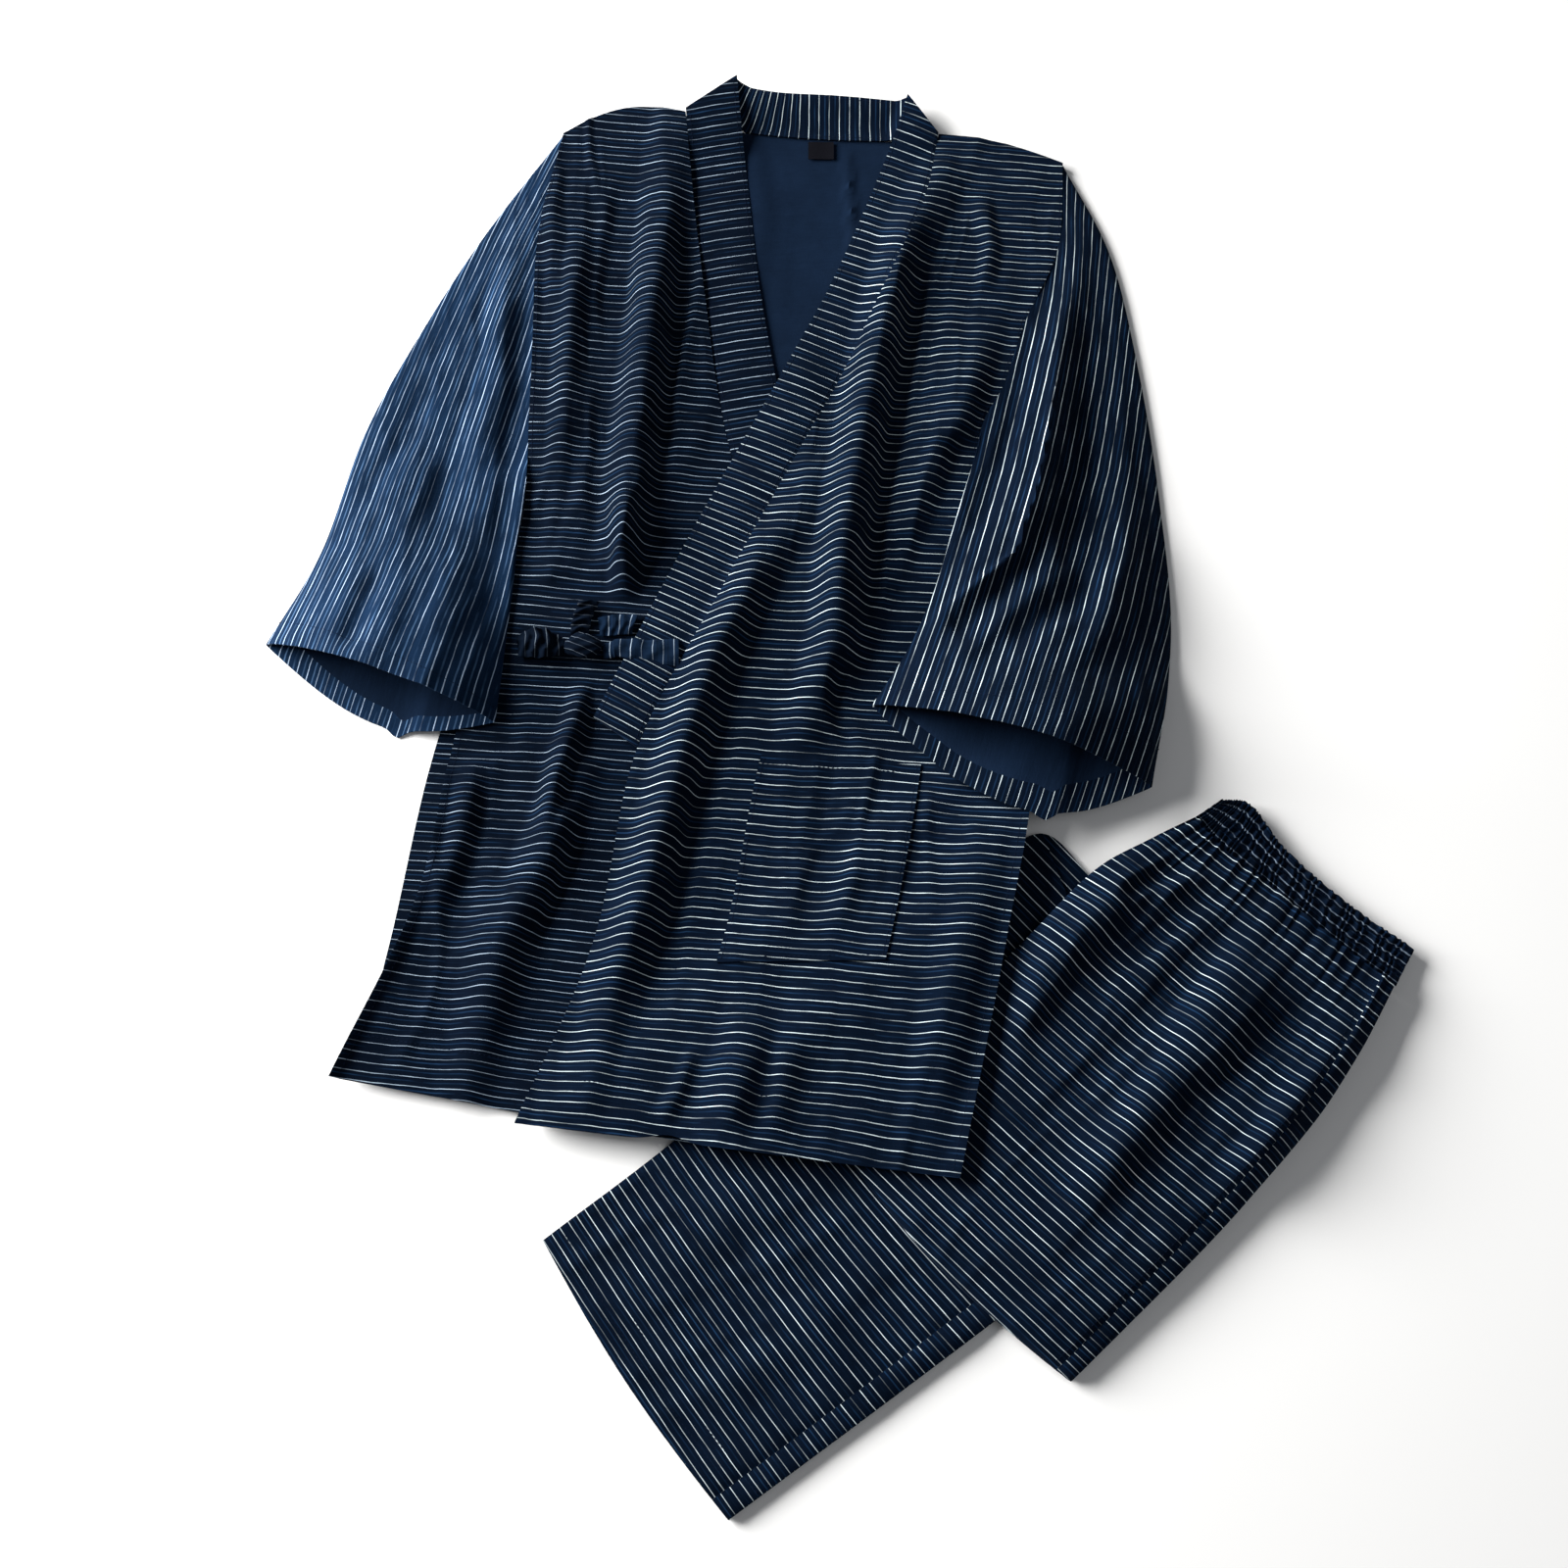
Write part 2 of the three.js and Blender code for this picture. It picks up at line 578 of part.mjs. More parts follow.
function collar() {
  const rightFloor = (x, y) => rightFrontFloor(x, y) + tipStand(x, y);
  const leftFloor = (x, y) => leftFrontFloor(x, y) + tipStand(x, y);
  const backPlaces = between(collarBackRows, 'low', 'top', steps(6), steps(3), 0.4, 0);
  const stand = (x, y) => collarBackStand * softStep((y - 528) / 34);
  return [
    slab('collar_right_band', clothColour, bandPlaces(rightFrontRows, rightBandEdge), rightFloor, bandWall),
    slab('collar_back_band', clothColour, backPlaces, stand, bandWall),
    slab('collar_left_band', clothColour, bandPlaces(leftFrontRows, leftBandEdge), leftFloor, bandWall),
  ];
}

// A sleeve is one tube: a ring of cloth across it at each station from armhole to cuff.
// Its first ring follows the armhole, and its cuff stands open.
function sleeve(name, rows, frontRows, side, floorAt, folds, cuffSag) {
  const across = steps(armholeSteps);
  const stations = [0, 0.12, 0.25, 0.38, 0.5, 0.62, 0.74, 0.84, 0.93, 1];
  const armhole = across.map((u) => [column(frontRows, 'sideX', u / 2), column(frontRows, 'sideY', u / 2)]);
  const hollow = (u, v) => sleeveLayGap
    + cuffRise * Math.sin(Math.PI * u) ** 0.8 * softStep((v - cuffPuffFrom) / (1 - cuffPuffFrom));
  const corners = [];
  const place = (u, v) => {
    const index = Math.min(armholeSteps - 1, Math.floor(u * armholeSteps));
    const t = u * armholeSteps - index;
    const bent = (axis) => mix(armhole[index][axis], armhole[index + 1][axis], t);
    const straight = (axis) => mix(armhole[0][axis], armhole[armholeSteps][axis], u);
    const keep = (1 - v) ** 3;
    return [
      mix(column(rows, 'foldX', v), column(rows, 'seamX', v), u) + (bent(0) - straight(0)) * keep + side * seamGap,
      mix(column(rows, 'foldY', v), column(rows, 'seamY', v), u) + (bent(1) - straight(1)) * keep,
    ];
  };
  const edgeLetIn = 2 * clothWall;
  stations.forEach((v) => {
    const [first, last] = [place(0, v), place(1, v)];
    const length = Math.hypot(last[0] - first[0], last[1] - first[1]);
    const sag = cuffSag * softStep((v - cuffPuffFrom) / (1 - cuffPuffFrom));
    const underLayer = (u) => {
      const [x, y] = place(u, v);
      const lowY = y - sag * Math.sin(Math.PI * u);
      return [x, lowY, floorAt(x, lowY)];
    };
    const upperLayer = (u) => {
      const [x, y] = place(u, v);
      const folded = foldHeight(folds, x, y) * Math.sin(Math.PI * u) ** 0.5 * softStep(v / 0.15);
      return [x, y, floorAt(x, y) + 2 * clothWall + hollow(u, v) + folded];
    };
    const edge = (u, letIn) => {
      const share = u + (letIn / length) * (u === 0 ? 1 : -1);
      const [x, y] = place(share, v);
      return [x, y, floorAt(x, y) + clothWall + sleeveLayGap / 2];
    };
    const inner = across.slice(1, -1);
    const outside = [edge(0, 0), ...inner.map(underLayer), edge(1, 0), ...inner.toReversed().map(upperLayer)];
    const lift = (dz) => ([x, y, z]) => [x, y, z + dz];
    const inside = [edge(0, edgeLetIn), ...inner.map(underLayer).map(lift(clothWall)),
      edge(1, edgeLetIn), ...inner.toReversed().map(upperLayer).map(lift(-clothWall))];
    corners.push(...outside, ...inside);
  });
  const ringSize = armholeSteps * 2;
  const triangles = [];
  const face = (a, b, c) => triangles.push(side > 0 ? [a, c, b] : [a, b, c]);
  const quad = (a, b, c, d) => {
    face(a, b, c);
    face(a, c, d);
  };
  for (let j = 0; j < stations.length; j += 1) {
    for (let k = 0; k < ringSize; k += 1) {
      const next = (k + 1) % ringSize;
      const [outer, inner] = [j * ringSize * 2, j * ringSize * 2 + ringSize];
      const [outerNext, innerNext] = [outer + ringSize * 2, inner + ringSize * 2];
      // Both layers are split along the same diagonal, so that they keep their distance
      const isUnderLayer = k < armholeSteps;
      if (j < stations.length - 1 && isUnderLayer) {
        quad(outer + k, outer + next, outerNext + next, outerNext + k);
        quad(inner + k, innerNext + k, innerNext + next, inner + next);
      }
      if (j < stations.length - 1 && !isUnderLayer) {
        quad(outer + next, outerNext + next, outerNext + k, outer + k);
        quad(inner + next, inner + k, innerNext + k, innerNext + next);
      }
      // Each strip of the armhole end is split so that no long thin triangle lies along the fold
      const nextIsEdge = next % armholeSteps === 0;
      if (j === 0 && nextIsEdge) quad(outer + k, inner + k, inner + next, outer + next);
      if (j === 0 && !nextIsEdge) quad(outer + next, outer + k, inner + k, inner + next);
      if (j === stations.length - 1) quad(outer + k, outer + next, inner + next, inner + k);
    }
  }
  return meshOf(name, clothColour, corners, triangles);
}

// Each sleeve lies beside the body as far down as the underarm and on its front below that
const rightOnBodyFrom = 265;
const leftOnBodyFrom = 335;
const ontoBodyReach = 40;

function sleeves() {
  const bodyTop = 2 * clothStep + looseLay / 2;
  const rightFloor = (x, y) => bodyTop * over(rightFrontOutline, x, y, 20, 26)
    * softStep((rightOnBodyFrom - y) / ontoBodyReach);
  const leftFloor = (x, y) => overTrousers(x, y, bridge.sleeve) + bodyTop
    * over(leftFrontOutline, x, y, 20, 28) * softStep((leftOnBodyFrom - y) / ontoBodyReach);
  return [
    sleeve('right_sleeve', rightSleeveRows, rightFrontRows, -1, rightFloor, rightSleeveFolds, rightCuffSag),
    sleeve('left_sleeve', leftSleeveRows, leftFrontRows, 1, leftFloor, leftSleeveFolds, leftCuffSag),
  ];
}

// Hidden layers of a leg: a rounded stack whose edge shows its two layers
const layeredEdge = [
  { inset: -1.5, share: 0.12 },
  { inset: -2.2, share: 0.26 },
  { inset: 1.2, share: 0.5 },
  { inset: -1.6, share: 0.74 },
  { inset: -1, share: 0.9 },
];

function trousers() {
  const leftCore = leftLegPlaces(steps(9), steps(5), 3);
  const leftPanel = leftLegPlaces(steps(10, 0, leftLegPanelShare), steps(8), 1);
  const rightCore = rightLegPlaces(steps(10, 0.012), steps(8), 3);
  const rightPanel = rightLegPlaces(steps(12), steps(16), 1);
  const leftTop = (x, y) => leftLegCore + seamGap + foldHeight(leftLegFolds, x, y) * leftLegOpen(x, y);
  const rightFloor = (x, y) => overLeftLeg(x, y, bridge.core);
  const rightTop = (x, y) => overLeftLeg(x, y, bridge.legPanel) + rightLegCore + seamGap + looseLay
    + foldHeight(rightLegFolds, x, y) * rightLegOpen(x, y);
  return [
    slab('left_leg_hidden_layers', reverseColour, leftCore, () => 0, leftLegCore, layeredEdge),
    slab('left_leg_panel', clothColour, leftPanel, leftTop, clothWall),
    slab('right_leg_hidden_layers', reverseColour, rightCore, rightFloor, rightLegCore, layeredEdge),
    slab('right_leg_panel', clothColour, rightPanel, rightTop, clothWall),
  ];
}

// Folds of the trousers stay flat where the jacket or the other leg lies on them
function rightLegOpen(x, y) {
  return clearOf(leftFrontOutline, x, y, 4, 26);
}

function leftLegOpen(x, y) {
  return clearOf(rightLegOutline, x, y, 6, 30) * rightLegOpen(x, y);
}

// The band's gathers run across it, so a wave goes along its length and is softer at both edges
function waistband() {
  const samplesPerGather = 4;
  const lower = (x, y) => overLeftLeg(x, y, bridge.core);
  const along = steps(waistbandGathers * samplesPerGather);
  const places = between(waistbandRows, 'low', 'top', along, steps(3), seamGap);
  const waves = new Map();
  places.forEach((row, j) => row.forEach((place, i) => {
    const edgeShare = i === 0 || i === row.length - 1 ? 0.6 : 1;
    const turn = (2 * Math.PI * j) / samplesPerGather + Math.PI / 4;
    waves.set(place.join(), gatherDepth * (1 + Math.sin(turn) * edgeShare));
  }));
  const gathered = (x, y) => lower(x, y) + waistbandCore + seamGap + waves.get([x, y].join());
  const core = between(waistbandRows, 'low', 'top', steps(10), steps(2), 3.2, 3);
  return [
    slab('waistband_hidden_layers', reverseColour, core, lower, waistbandCore, layeredEdge),
    slab('waistband', clothColour, places, gathered, clothWall),
  ];
}

function tie() {
  const onFront = clothStep + clothStep + looseLay / 2;
  const onBand = 2 * bandStep + clothStep;
  // The strap climbs from the right front onto the left one's collar band
  const climbFrom = -134;
  const onLeftFrontFrom = -125;
  const strap = (x, y) => Math.max(mix(onFront, onBand, softStep((x - climbFrom) / 18)),
    x > onLeftFrontFrom ? leftFrontFloor(x, y) + bandStep + looseLay / 2 : 0);
  const [, loopMiddle, loopEnd] = tieSideLoopRows;
  const loopHalf = loopMiddle.upperX - loopEnd.upperX;
  const sideLoop = (x) => onFront + tieLoopRise * Math.max(0, 1 - ((x - loopMiddle.upperX) / loopHalf) ** 2);
  const knotGeometry = new THREE.SphereGeometry(1, 14, 10);
  knotGeometry.scale(tieKnot.halfLength, tieKnot.halfWidth, tieKnot.halfHeight);
  knotGeometry.translate(tieKnot.x, tieKnot.y, onFront + tieKnot.halfHeight);
  const knot = new THREE.Mesh(knotGeometry,
    new THREE.MeshStandardMaterial({ color: clothColour, roughness: 0.92, metalness: 0 }));
  knot.name = 'tie_knot';
  const ribbon = (name, rows, floorAt) => slab(name, clothColour,
    between(rows, 'upper', 'lower', steps(8), steps(3)), floorAt, clothWall);
  return [
    knot,
    ribbon('tie_strap', tieStrapRows, strap),
    ribbon('tie_upper_strap', tieUpperStrapRows, () => onFront),
    ribbon('tie_up_loop', tieUpLoopRows, () => onFront),
    ribbon('tie_side_loop', tieSideLoopRows, sideLoop),
  ];
}

function neckLabel() {
  const { x, y, width, height, wall } = label;
  const places = steps(1, y + height / 2, y - height / 2).map((py) => steps(2, x - width / 2, x + width / 2)
    .map((px) => [px, py]));
  return slab('neck_label', labelColour, places, () => clothStep, wall);
}

const group = new THREE.Group();
const pieces = [jacketBack(), ...jacketFronts(), ...collar(), ...sleeves(), ...tie(), neckLabel(),
  ...trousers(), ...waistband()];
pieces.forEach((piece) => {
  piece.position.set(-layoutMiddle.x, -layoutMiddle.y, 0);
  group.add(piece);
});

export default group;
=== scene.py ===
import math

import bpy
import numpy as np
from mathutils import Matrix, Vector


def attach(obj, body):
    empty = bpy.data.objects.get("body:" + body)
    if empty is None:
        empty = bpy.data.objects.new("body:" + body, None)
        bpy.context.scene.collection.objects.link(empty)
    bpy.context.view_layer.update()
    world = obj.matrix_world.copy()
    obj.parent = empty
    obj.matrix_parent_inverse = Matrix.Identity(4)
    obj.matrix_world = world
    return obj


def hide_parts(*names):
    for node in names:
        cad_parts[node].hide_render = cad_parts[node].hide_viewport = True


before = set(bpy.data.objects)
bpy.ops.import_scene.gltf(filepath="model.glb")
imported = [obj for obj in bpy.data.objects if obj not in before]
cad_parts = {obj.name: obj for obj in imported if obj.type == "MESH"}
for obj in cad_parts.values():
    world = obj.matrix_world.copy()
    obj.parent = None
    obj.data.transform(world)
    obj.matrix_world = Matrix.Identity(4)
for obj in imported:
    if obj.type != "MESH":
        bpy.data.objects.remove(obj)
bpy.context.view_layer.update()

# Places are in millimetres on the surface the set lies on, from the middle of the layout.
# The finished objects are in metres, from the middle of the set's outline.
steps = np.linspace
layoutMiddle = np.array([33.15, 27.63])
cloth = {"wall": 1.6, "shell": 0.9, "band": 2.4, "seamGap": 0.3, "stripePitch": 8.0, "lowestTop": 0.15,
         "lowestUnder": 0.05}
clothStep = cloth["wall"] + cloth["seamGap"]
bandStep = cloth["band"] + cloth["seamGap"]
looseLay = 0.9
legs = {"leftCore": 4.2, "rightCore": 5.4, "panelShare": 0.68, "hemBow": 6, "foldBow": 10}
legHeights = {name: legs[core] + cloth["wall"] + 2 * cloth["seamGap"]
              for name, core in (("leftLeg", "leftCore"), ("rightLeg", "rightCore"))}
tieSpot = {"x": -138, "y": 110, "width": 1.7}


def table(*rows):
    return np.array(rows, float)


# Edges of the jacket's fronts from shoulder to hem
leftSeam = table((121, 526), (107, 462), (72, 380), (35, 304), (-4, 230), (-45, 150), (-107, 25), (-136, -118),
                 (-188, -248))
leftSide = table((218, 501), (212, 428), (186, 368), (167, 313), (147, 257), (176, 142), (180, 8), (158, -115),
                 (121, -287))
rightSeam = table((-77, 545), (-69, 460), (-59, 375), (-47, 290), (-28, 205), (-12, 110), (-8, 0), (-8, -125),
                  (-8, -272))
rightSide = table((-173, 527), (-190, 440), (-192, 365), (-193, 285), (-197, 200), (-228, 105), (-244, 15),
                  (-264, -90), (-319, -215))
# Free edges of the collar's front bands, and the back of the collar
leftBandEdge = table((97, 553), (70, 480), (36, 398), (-1, 324), (-40, 250), (-82, 168), (-139, 48))
rightBandEdge = table((-37, 568), (-28, 480), (-18, 390), (-4, 308), (14, 218), (30, 118))
collarBackLow = table((-32.6, 531.8), (0, 527.5), (40, 524.6), (86, 523.4))
collarBackTop = table((-36.6, 567), (-4, 560), (44, 557), (96.4, 552))
# Back below the armholes, and the rise of its neckline
backLeft = table((-197, 200), (-232, 105), (-259, 10), (-281, -112), (-300, -200))
backRight = table((147, 257), (174, 142), (177, 8), (154, -115), (118, -270))
neckRise = table((0, 0), (0.06, 14), (0.12, 23), (0.248, 24.5), (0.36, 12.5), (0.51, 11), (0.665, 12),
                 (0.755, 19), (0.87, 9), (1, 0))
# Sleeves from armhole to cuff
rightFold = table((-173, 527), (-232, 440), (-279, 356), (-317, 275), (-346, 178), (-383, 106))
rightUnderarm = table((-197, 200), (-199, 178), (-201, 150), (-204, 118), (-207, 84), (-211, 45))
leftFold = table((218, 501), (252, 424), (270, 330), (282, 222), (286, 108), (265, -7))
leftUnderarm = table((147, 257), (137, 232), (126, 196), (112, 150), (92, 103), (64, 58))
# Trousers: the left leg from hem to waist, the right leg from waist to its folded end, and the waistband
leftLegUpper = table((-167, -327), (-79, -260), (8, -185), (96, -110), (181, -38), (232, -76), (296, -46))
leftLegLower = table((-37, -513), (50, -451), (125, -397), (196, -345), (268, -288), (345, -222), (410, -158))
rightLegUpper = table((296, -29), (262, -45), (221, -68), (176, -112), (128, -160), (80, -208), (32, -256))
rightLegLower = table((432, -152), (418, -177), (402, -203), (374, -243), (334, -288), (288, -336), (196, -423))
bandLow = table((296, -29), (312, -50), (348, -81), (390, -119), (432, -152))
bandTop = table((317, -14), (338, -18), (362, -52), (404, -91), (449, -124))

# Soft ridges: height, half width, points of the line
rightFrontFolds = [
    (17, 24, (-88, 528), (-104, 345), (-114, 248), (-122, 150)),
    (8, 16, (-160, 470), (-164, 330), (-168, 210)),
    (13, 26, (-148, 0), (-169, -47), (-202, -119), (-222, -225)),
    (7, 17, (-226, 20), (-234, -40), (-256, -110)),
]
leftFrontFolds = [
    (19, 25, (122, 490), (97, 437), (79, 377), (59, 280), (44, 178), (36, 100), (14, 41)),
    (15, 24, (24, 235), (-20, 162), (-52, 95), (-73, 26), (-98, -76), (-118, -147), (-140, -225)),
    (9, 22, (154, 370), (128, 270), (102, 178)),
    (4, 26, (60, 20), (48, -76), (24, -150)),
    (9, 24, (-20, -160), (-34, -210), (-44, -262)),
    (8, 26, (140, -60), (122, -150), (98, -255)),
]
rightSleeveFolds = [
    (12, 22, (-203, 440), (-216, 330), (-232, 240), (-250, 120)),
    (8, 20, (-262, 300), (-284, 220), (-310, 130)),
]
leftSleeveFolds = [
    (13, 24, (226, 440), (206, 330), (180, 215), (136, 150)),
    (9, 22, (256, 330), (252, 200), (232, 90)),
]
rightLegFolds = [
    (12, 20, (276, -62), (235, -90), (190, -140), (137, -237)),
    (13, 22, (338, -112), (288, -180), (240, -255), (185, -330)),
    (9, 17, (390, -160), (350, -235), (290, -310)),
    (7, 14, (308, -82), (268, -128), (228, -176)),
]
leftLegFolds = [
    (3, 30, (-110, -370), (-10, -290), (60, -240)),
    (2.5, 26, (-60, -440), (50, -370)),
]

# Smaller creases on what shows: height, or depth below 0, half width, line
rightFrontCreases = [
    (-5, 15, (-121, 506), (-123, 452), (-129, 399), (-134, 346)),
    (-5, 13, (-72, 481), (-77, 416), (-85, 346), (-93, 277), (-99, 226)),
    (-5, 13, (-132, -5), (-151, -54), (-162, -99), (-172, -143), (-185, -187)),
    (4, 10, (-182, 500), (-178, 430), (-176, 350)),
    (3, 13, (-196, -30), (-214, -90), (-236, -160)),
    (-2, 12, (-214, 10), (-222, -50), (-240, -110)),
    (3, 10, (-150, 330), (-150, 260), (-154, 190)),
]
# Ridges that run into the tie from above and come out below it
tieCreases = [
    (10, 13, (-122, 232), (-119, 200), (-118, 165), (-120, 134)),
    (9, 12, (-144, 84), (-152, 50), (-166, -2), (-178, -50)),
]
leftFrontCreases = [
    (-6, 13, (109, 452), (100, 399), (93, 332), (84, 277), (75, 226), (64, 176), (56, 127)),
    (4, 15, (139, 409), (125, 346), (111, 284), (96, 223), (87, 176)),
    (-4, 19, (83, 10), (58, -32), (36, -58), (18, -95), (10, -129)),
    (-5, 11, (41, 104), (39, 57), (51, 18)),
    (-5, 13, (-19, 92), (-41, 37), (-60, -13), (-68, -50), (-77, -99), (-87, -151), (-95, -205)),
    (-3, 15, (-8, -195), (-18, -234), (-27, -262)),
    (-3, 17, (24, -180), (16, -244), (10, -280)),
    (3, 14, (5, -180), (-1, -223), (-8, -262)),
    (5, 10, (-62, -190), (-73, -225), (-87, -248)),
    (4, 11, (150, 480), (160, 430), (150, 380)),
    (2, 18, (96, -10), (76, -70), (58, -130)),
]
rightSleeveCreases = [
    (-3, 8, (-226, 408), (-233, 374), (-239, 348)),
    (-7, 19, (-262, 300), (-284, 220), (-310, 130)),
    (-6, 21, (-206, 400), (-216, 330), (-232, 240), (-250, 120)),
    (-5, 13, (-262, 330), (-284, 280), (-305, 235), (-322, 190)),
    (-7, 13, (-292, 168), (-304, 135), (-312, 105), (-318, 84)),
    (-4, 12, (-200, 412), (-203, 315), (-206, 227), (-214, 139), (-222, 80)),
]
leftSleeveLedge = {
    "tall": 20, "rise": 8, "run": 60,
    "line": table((208, 400), (199, 295), (185, 224), (167, 169), (141, 148), (112, 127), (92, 104)),
}
leftSleeveCreases = [
    (-4, 13, (182, 330), (166, 255), (146, 210), (134, 176)),
    (-5, 16, (236, 331), (228, 263), (219, 208), (205, 165), (168, 127)),
    (-6, 19, (240, 182), (209, 128), (176, 104), (143, 82), (130, 55)),
    (6, 18, (264, 224), (254, 162), (230, 108), (200, 67)),
    (-14, 18, (206, 214), (184, 166), (158, 138), (130, 112), (106, 86)),
]
rightLegCreases = [
    (8, 28, (278, -58), (232, -90), (186, -132), (140, -190), (112, -236)),
    (10, 30, (362, -112), (322, -160), (278, -212), (232, -268), (196, -318)),
    (8, 19, (410, -160), (378, -208), (336, -262), (296, -306)),
    (-5, 13, (341, -92), (315, -111), (285, -143), (262, -168), (240, -193), (214, -218), (189, -239),
     (163, -279)),
    (-5, 12, (389, -136), (368, -165), (348, -190), (323, -208), (303, -230), (288, -258), (276, -279)),
    (-5, 8, (295, -59), (273, -69), (250, -82), (237, -92)),
    (-6, 10, (316, -82), (297, -92), (274, -111), (255, -124), (232, -139), (213, -162)),
    (4, 8, (306, -72), (286, -78), (262, -92)),
]
leftLegCreases = [
    (-2, 14, (-142, -330), (-118, -376), (-90, -409), (-62, -451), (-40, -488)),
    (2.5, 22, (-30, -300), (3, -349), (37, -393), (56, -419)),
]


def softStep(share):
    t = np.clip(share, 0, 1)
    return t * t * (3 - 2 * t)


def mix(a, b, share):
    return a + (b - a) * share


def axesOf(places):
    return places[..., 0], places[..., 1]


# Smooth curve through the rows of a table.
def along(rows, share):
    place = np.clip(share, 0, 1) * (len(rows) - 1)
    start = np.minimum(len(rows) - 2, np.floor(place).astype(int))
    t = (place - start)[..., None]
    longer = np.vstack([2 * rows[0] - rows[1], rows, 2 * rows[-1] - rows[-2]])
    a, b, c, d = (longer[start + k] for k in range(4))
    return 0.5 * (2 * b + (c - a) * t + (2 * a - 5 * b + 4 * c - d) * t ** 2 + (3 * b - 3 * c + d - a) * t ** 3)


# Distance to the nearest piece of a line, the share of its length reached there, and 1 on its left or -1.
def distanceToLine(line, x, y):
    nearest = np.full(x.shape, np.inf)
    reached, side = np.zeros(x.shape), np.zeros(x.shape)
    pieces = len(line) - 1
    for index in range(pieces):
        a, b = line[index], line[index + 1]
        step = b - a
        t = np.clip(((x - a[0]) * step[0] + (y - a[1]) * step[1]) / (step @ step), 0, 1)
        distance = np.hypot(x - a[0] - step[0] * t, y - a[1] - step[1] * t)
        closer = distance < nearest
        nearest = np.where(closer, distance, nearest)
        reached = np.where(closer, (index + t) / pieces, reached)
        side = np.where(closer, np.sign(step[0] * (y - a[1]) - step[1] * (x - a[0])), side)
    return nearest, reached, side


def distanceOutside(outline, x, y):
    closed = np.vstack([outline, outline[:1]])
    nearest = distanceToLine(closed, x, y)[0]
    inside = np.zeros(x.shape, bool)
    for a, b in zip(closed[:-1], closed[1:]):
        if a[1] == b[1]:
            continue
        crosses = ((a[1] > y) != (b[1] > y)) & (x < a[0] + (y - a[1]) / (b[1] - a[1]) * (b[0] - a[0]))
        inside ^= crosses
    return np.where(inside, 0, nearest)


# 1 well away from an outline, 0 within its margin
def clearOf(name, x, y, margin, reach):
    return softStep((distanceOutside(outlines[name], x, y) - margin) / reach)


def over(name, x, y, margin, reach):
    return 1 - clearOf(name, x, y, margin, reach)


# Height of rounded ridges. endShare is what is left of one at its ends.
def ridgeHeight(ridges, x, y, endShare, unevenness):
    height = np.zeros(x.shape)
    for tall, halfWidth, *line in ridges:
        nearest, travelled, _ = distanceToLine(table(*line), x, y)
        taper = softStep(travelled / 0.3) * softStep((1 - travelled) / 0.3)
        share = np.minimum(1, nearest / (halfWidth * unevenness))
        height += tall * unevenness * (endShare + (1 - endShare) * taper) * (1 - share ** 2) ** 2
    return height


def foldHeight(folds, x, y):
    return ridgeHeight(folds, x, y, 0.25, 1)


def creaseHeight(smaller, x, y):
    return ridgeHeight(smaller, x, y, 0, 1 + 0.3 * softNoise(x, y, 34, 5))


# A step that rises on the left of a line and runs out slowly
def ledgeHeight(ledge, x, y):
    nearest, travelled, side = distanceToLine(ledge["line"], x, y)
    ends = softStep(travelled / 0.4) * softStep((1 - travelled) / 0.12)
    rising = softStep((nearest * side + ledge["rise"] / 2) / ledge["rise"])
    return ledge["tall"] * ends * rising * (1 - softStep(np.maximum(nearest * side, 0) / ledge["run"]))


# Lets a height come down to 0 softly, so that no trough goes through what lies below
def neverBelow(height):
    return 0.5 * (height + np.sqrt(height ** 2 + 2.0))


# Smooth noise from -1 to 1 whose bumps are about size across.
def softNoise(x, y, size, seed):
    cells = 97
    values = np.random.default_rng(seed).uniform(-1, 1, (cells, cells))
    u, v = x / size + 500.0, y / size + 500.0
    i, j = np.floor(u).astype(int), np.floor(v).astype(int)
    s, t = softStep(u - i), softStep(v - j)
    low = mix(values[i % cells, j % cells], values[(i + 1) % cells, j % cells], s)
    high = mix(values[i % cells, (j + 1) % cells], values[(i + 1) % cells, (j + 1) % cells], s)
    return mix(low, high, t)


# Long soft creases from 0 to 1 that run at an angle in degrees from the +X axis.
def creases(x, y, angle, length, width, seed):
    c, s = math.cos(math.radians(angle)), math.sin(math.radians(angle))
    bent = softNoise(x, y, length * 0.8, seed + 7) * width * 0.9
    lengthwise, across = (x * c + y * s) / length, (y * c - x * s + bent) / width
    ridge = 1 - np.abs(softNoise(lengthwise, across, 1.0, seed))
    return softStep((ridge - 0.45) / 0.55)


# Outline of a strip of cloth between two edges
def strip(edgeA, edgeB):
    return np.vstack([along(edgeA, steps(0, 1, 17)), along(edgeB, steps(1, 0, 17))])


outlines = {
    "leftLeg": strip(leftLegUpper, leftLegLower),
    "rightLeg": strip(rightLegUpper, rightLegLower),
    "rightFront": strip(rightSeam, rightSide),
    "leftFront": strip(leftSeam, leftSide),
    "rightWhole": np.vstack([rightBandEdge, [(-6, 60), (-8, -255)], along(rightSide, steps(1, 0, 13))]),
    "underLeftFront": np.vstack([leftBandEdge[2:], leftSeam[6:], [(300, -287), (300, 398)]]),
    "underRightCuff": table((-197, 200), (-383, 104), (-320, 44), (-262, 26), (-211, 36)),
    "underLeftSleeve": table((230, 260), (140, 250), (120, 193), (60, 60), (64, 50), (93, 20), (128, -8),
                             (163, -24), (192, -38), (230, -38), (290, -15)),
}


def overLegs(x, y, margin, reach=50, which=("leftLeg", "rightLeg")):
    return sum((legHeights[name] + looseLay) * over(name, x, y, margin, reach) for name in which)


def overLeftLeg(x, y, margin):
    return overLegs(x, y, margin, 42, ("leftLeg",))


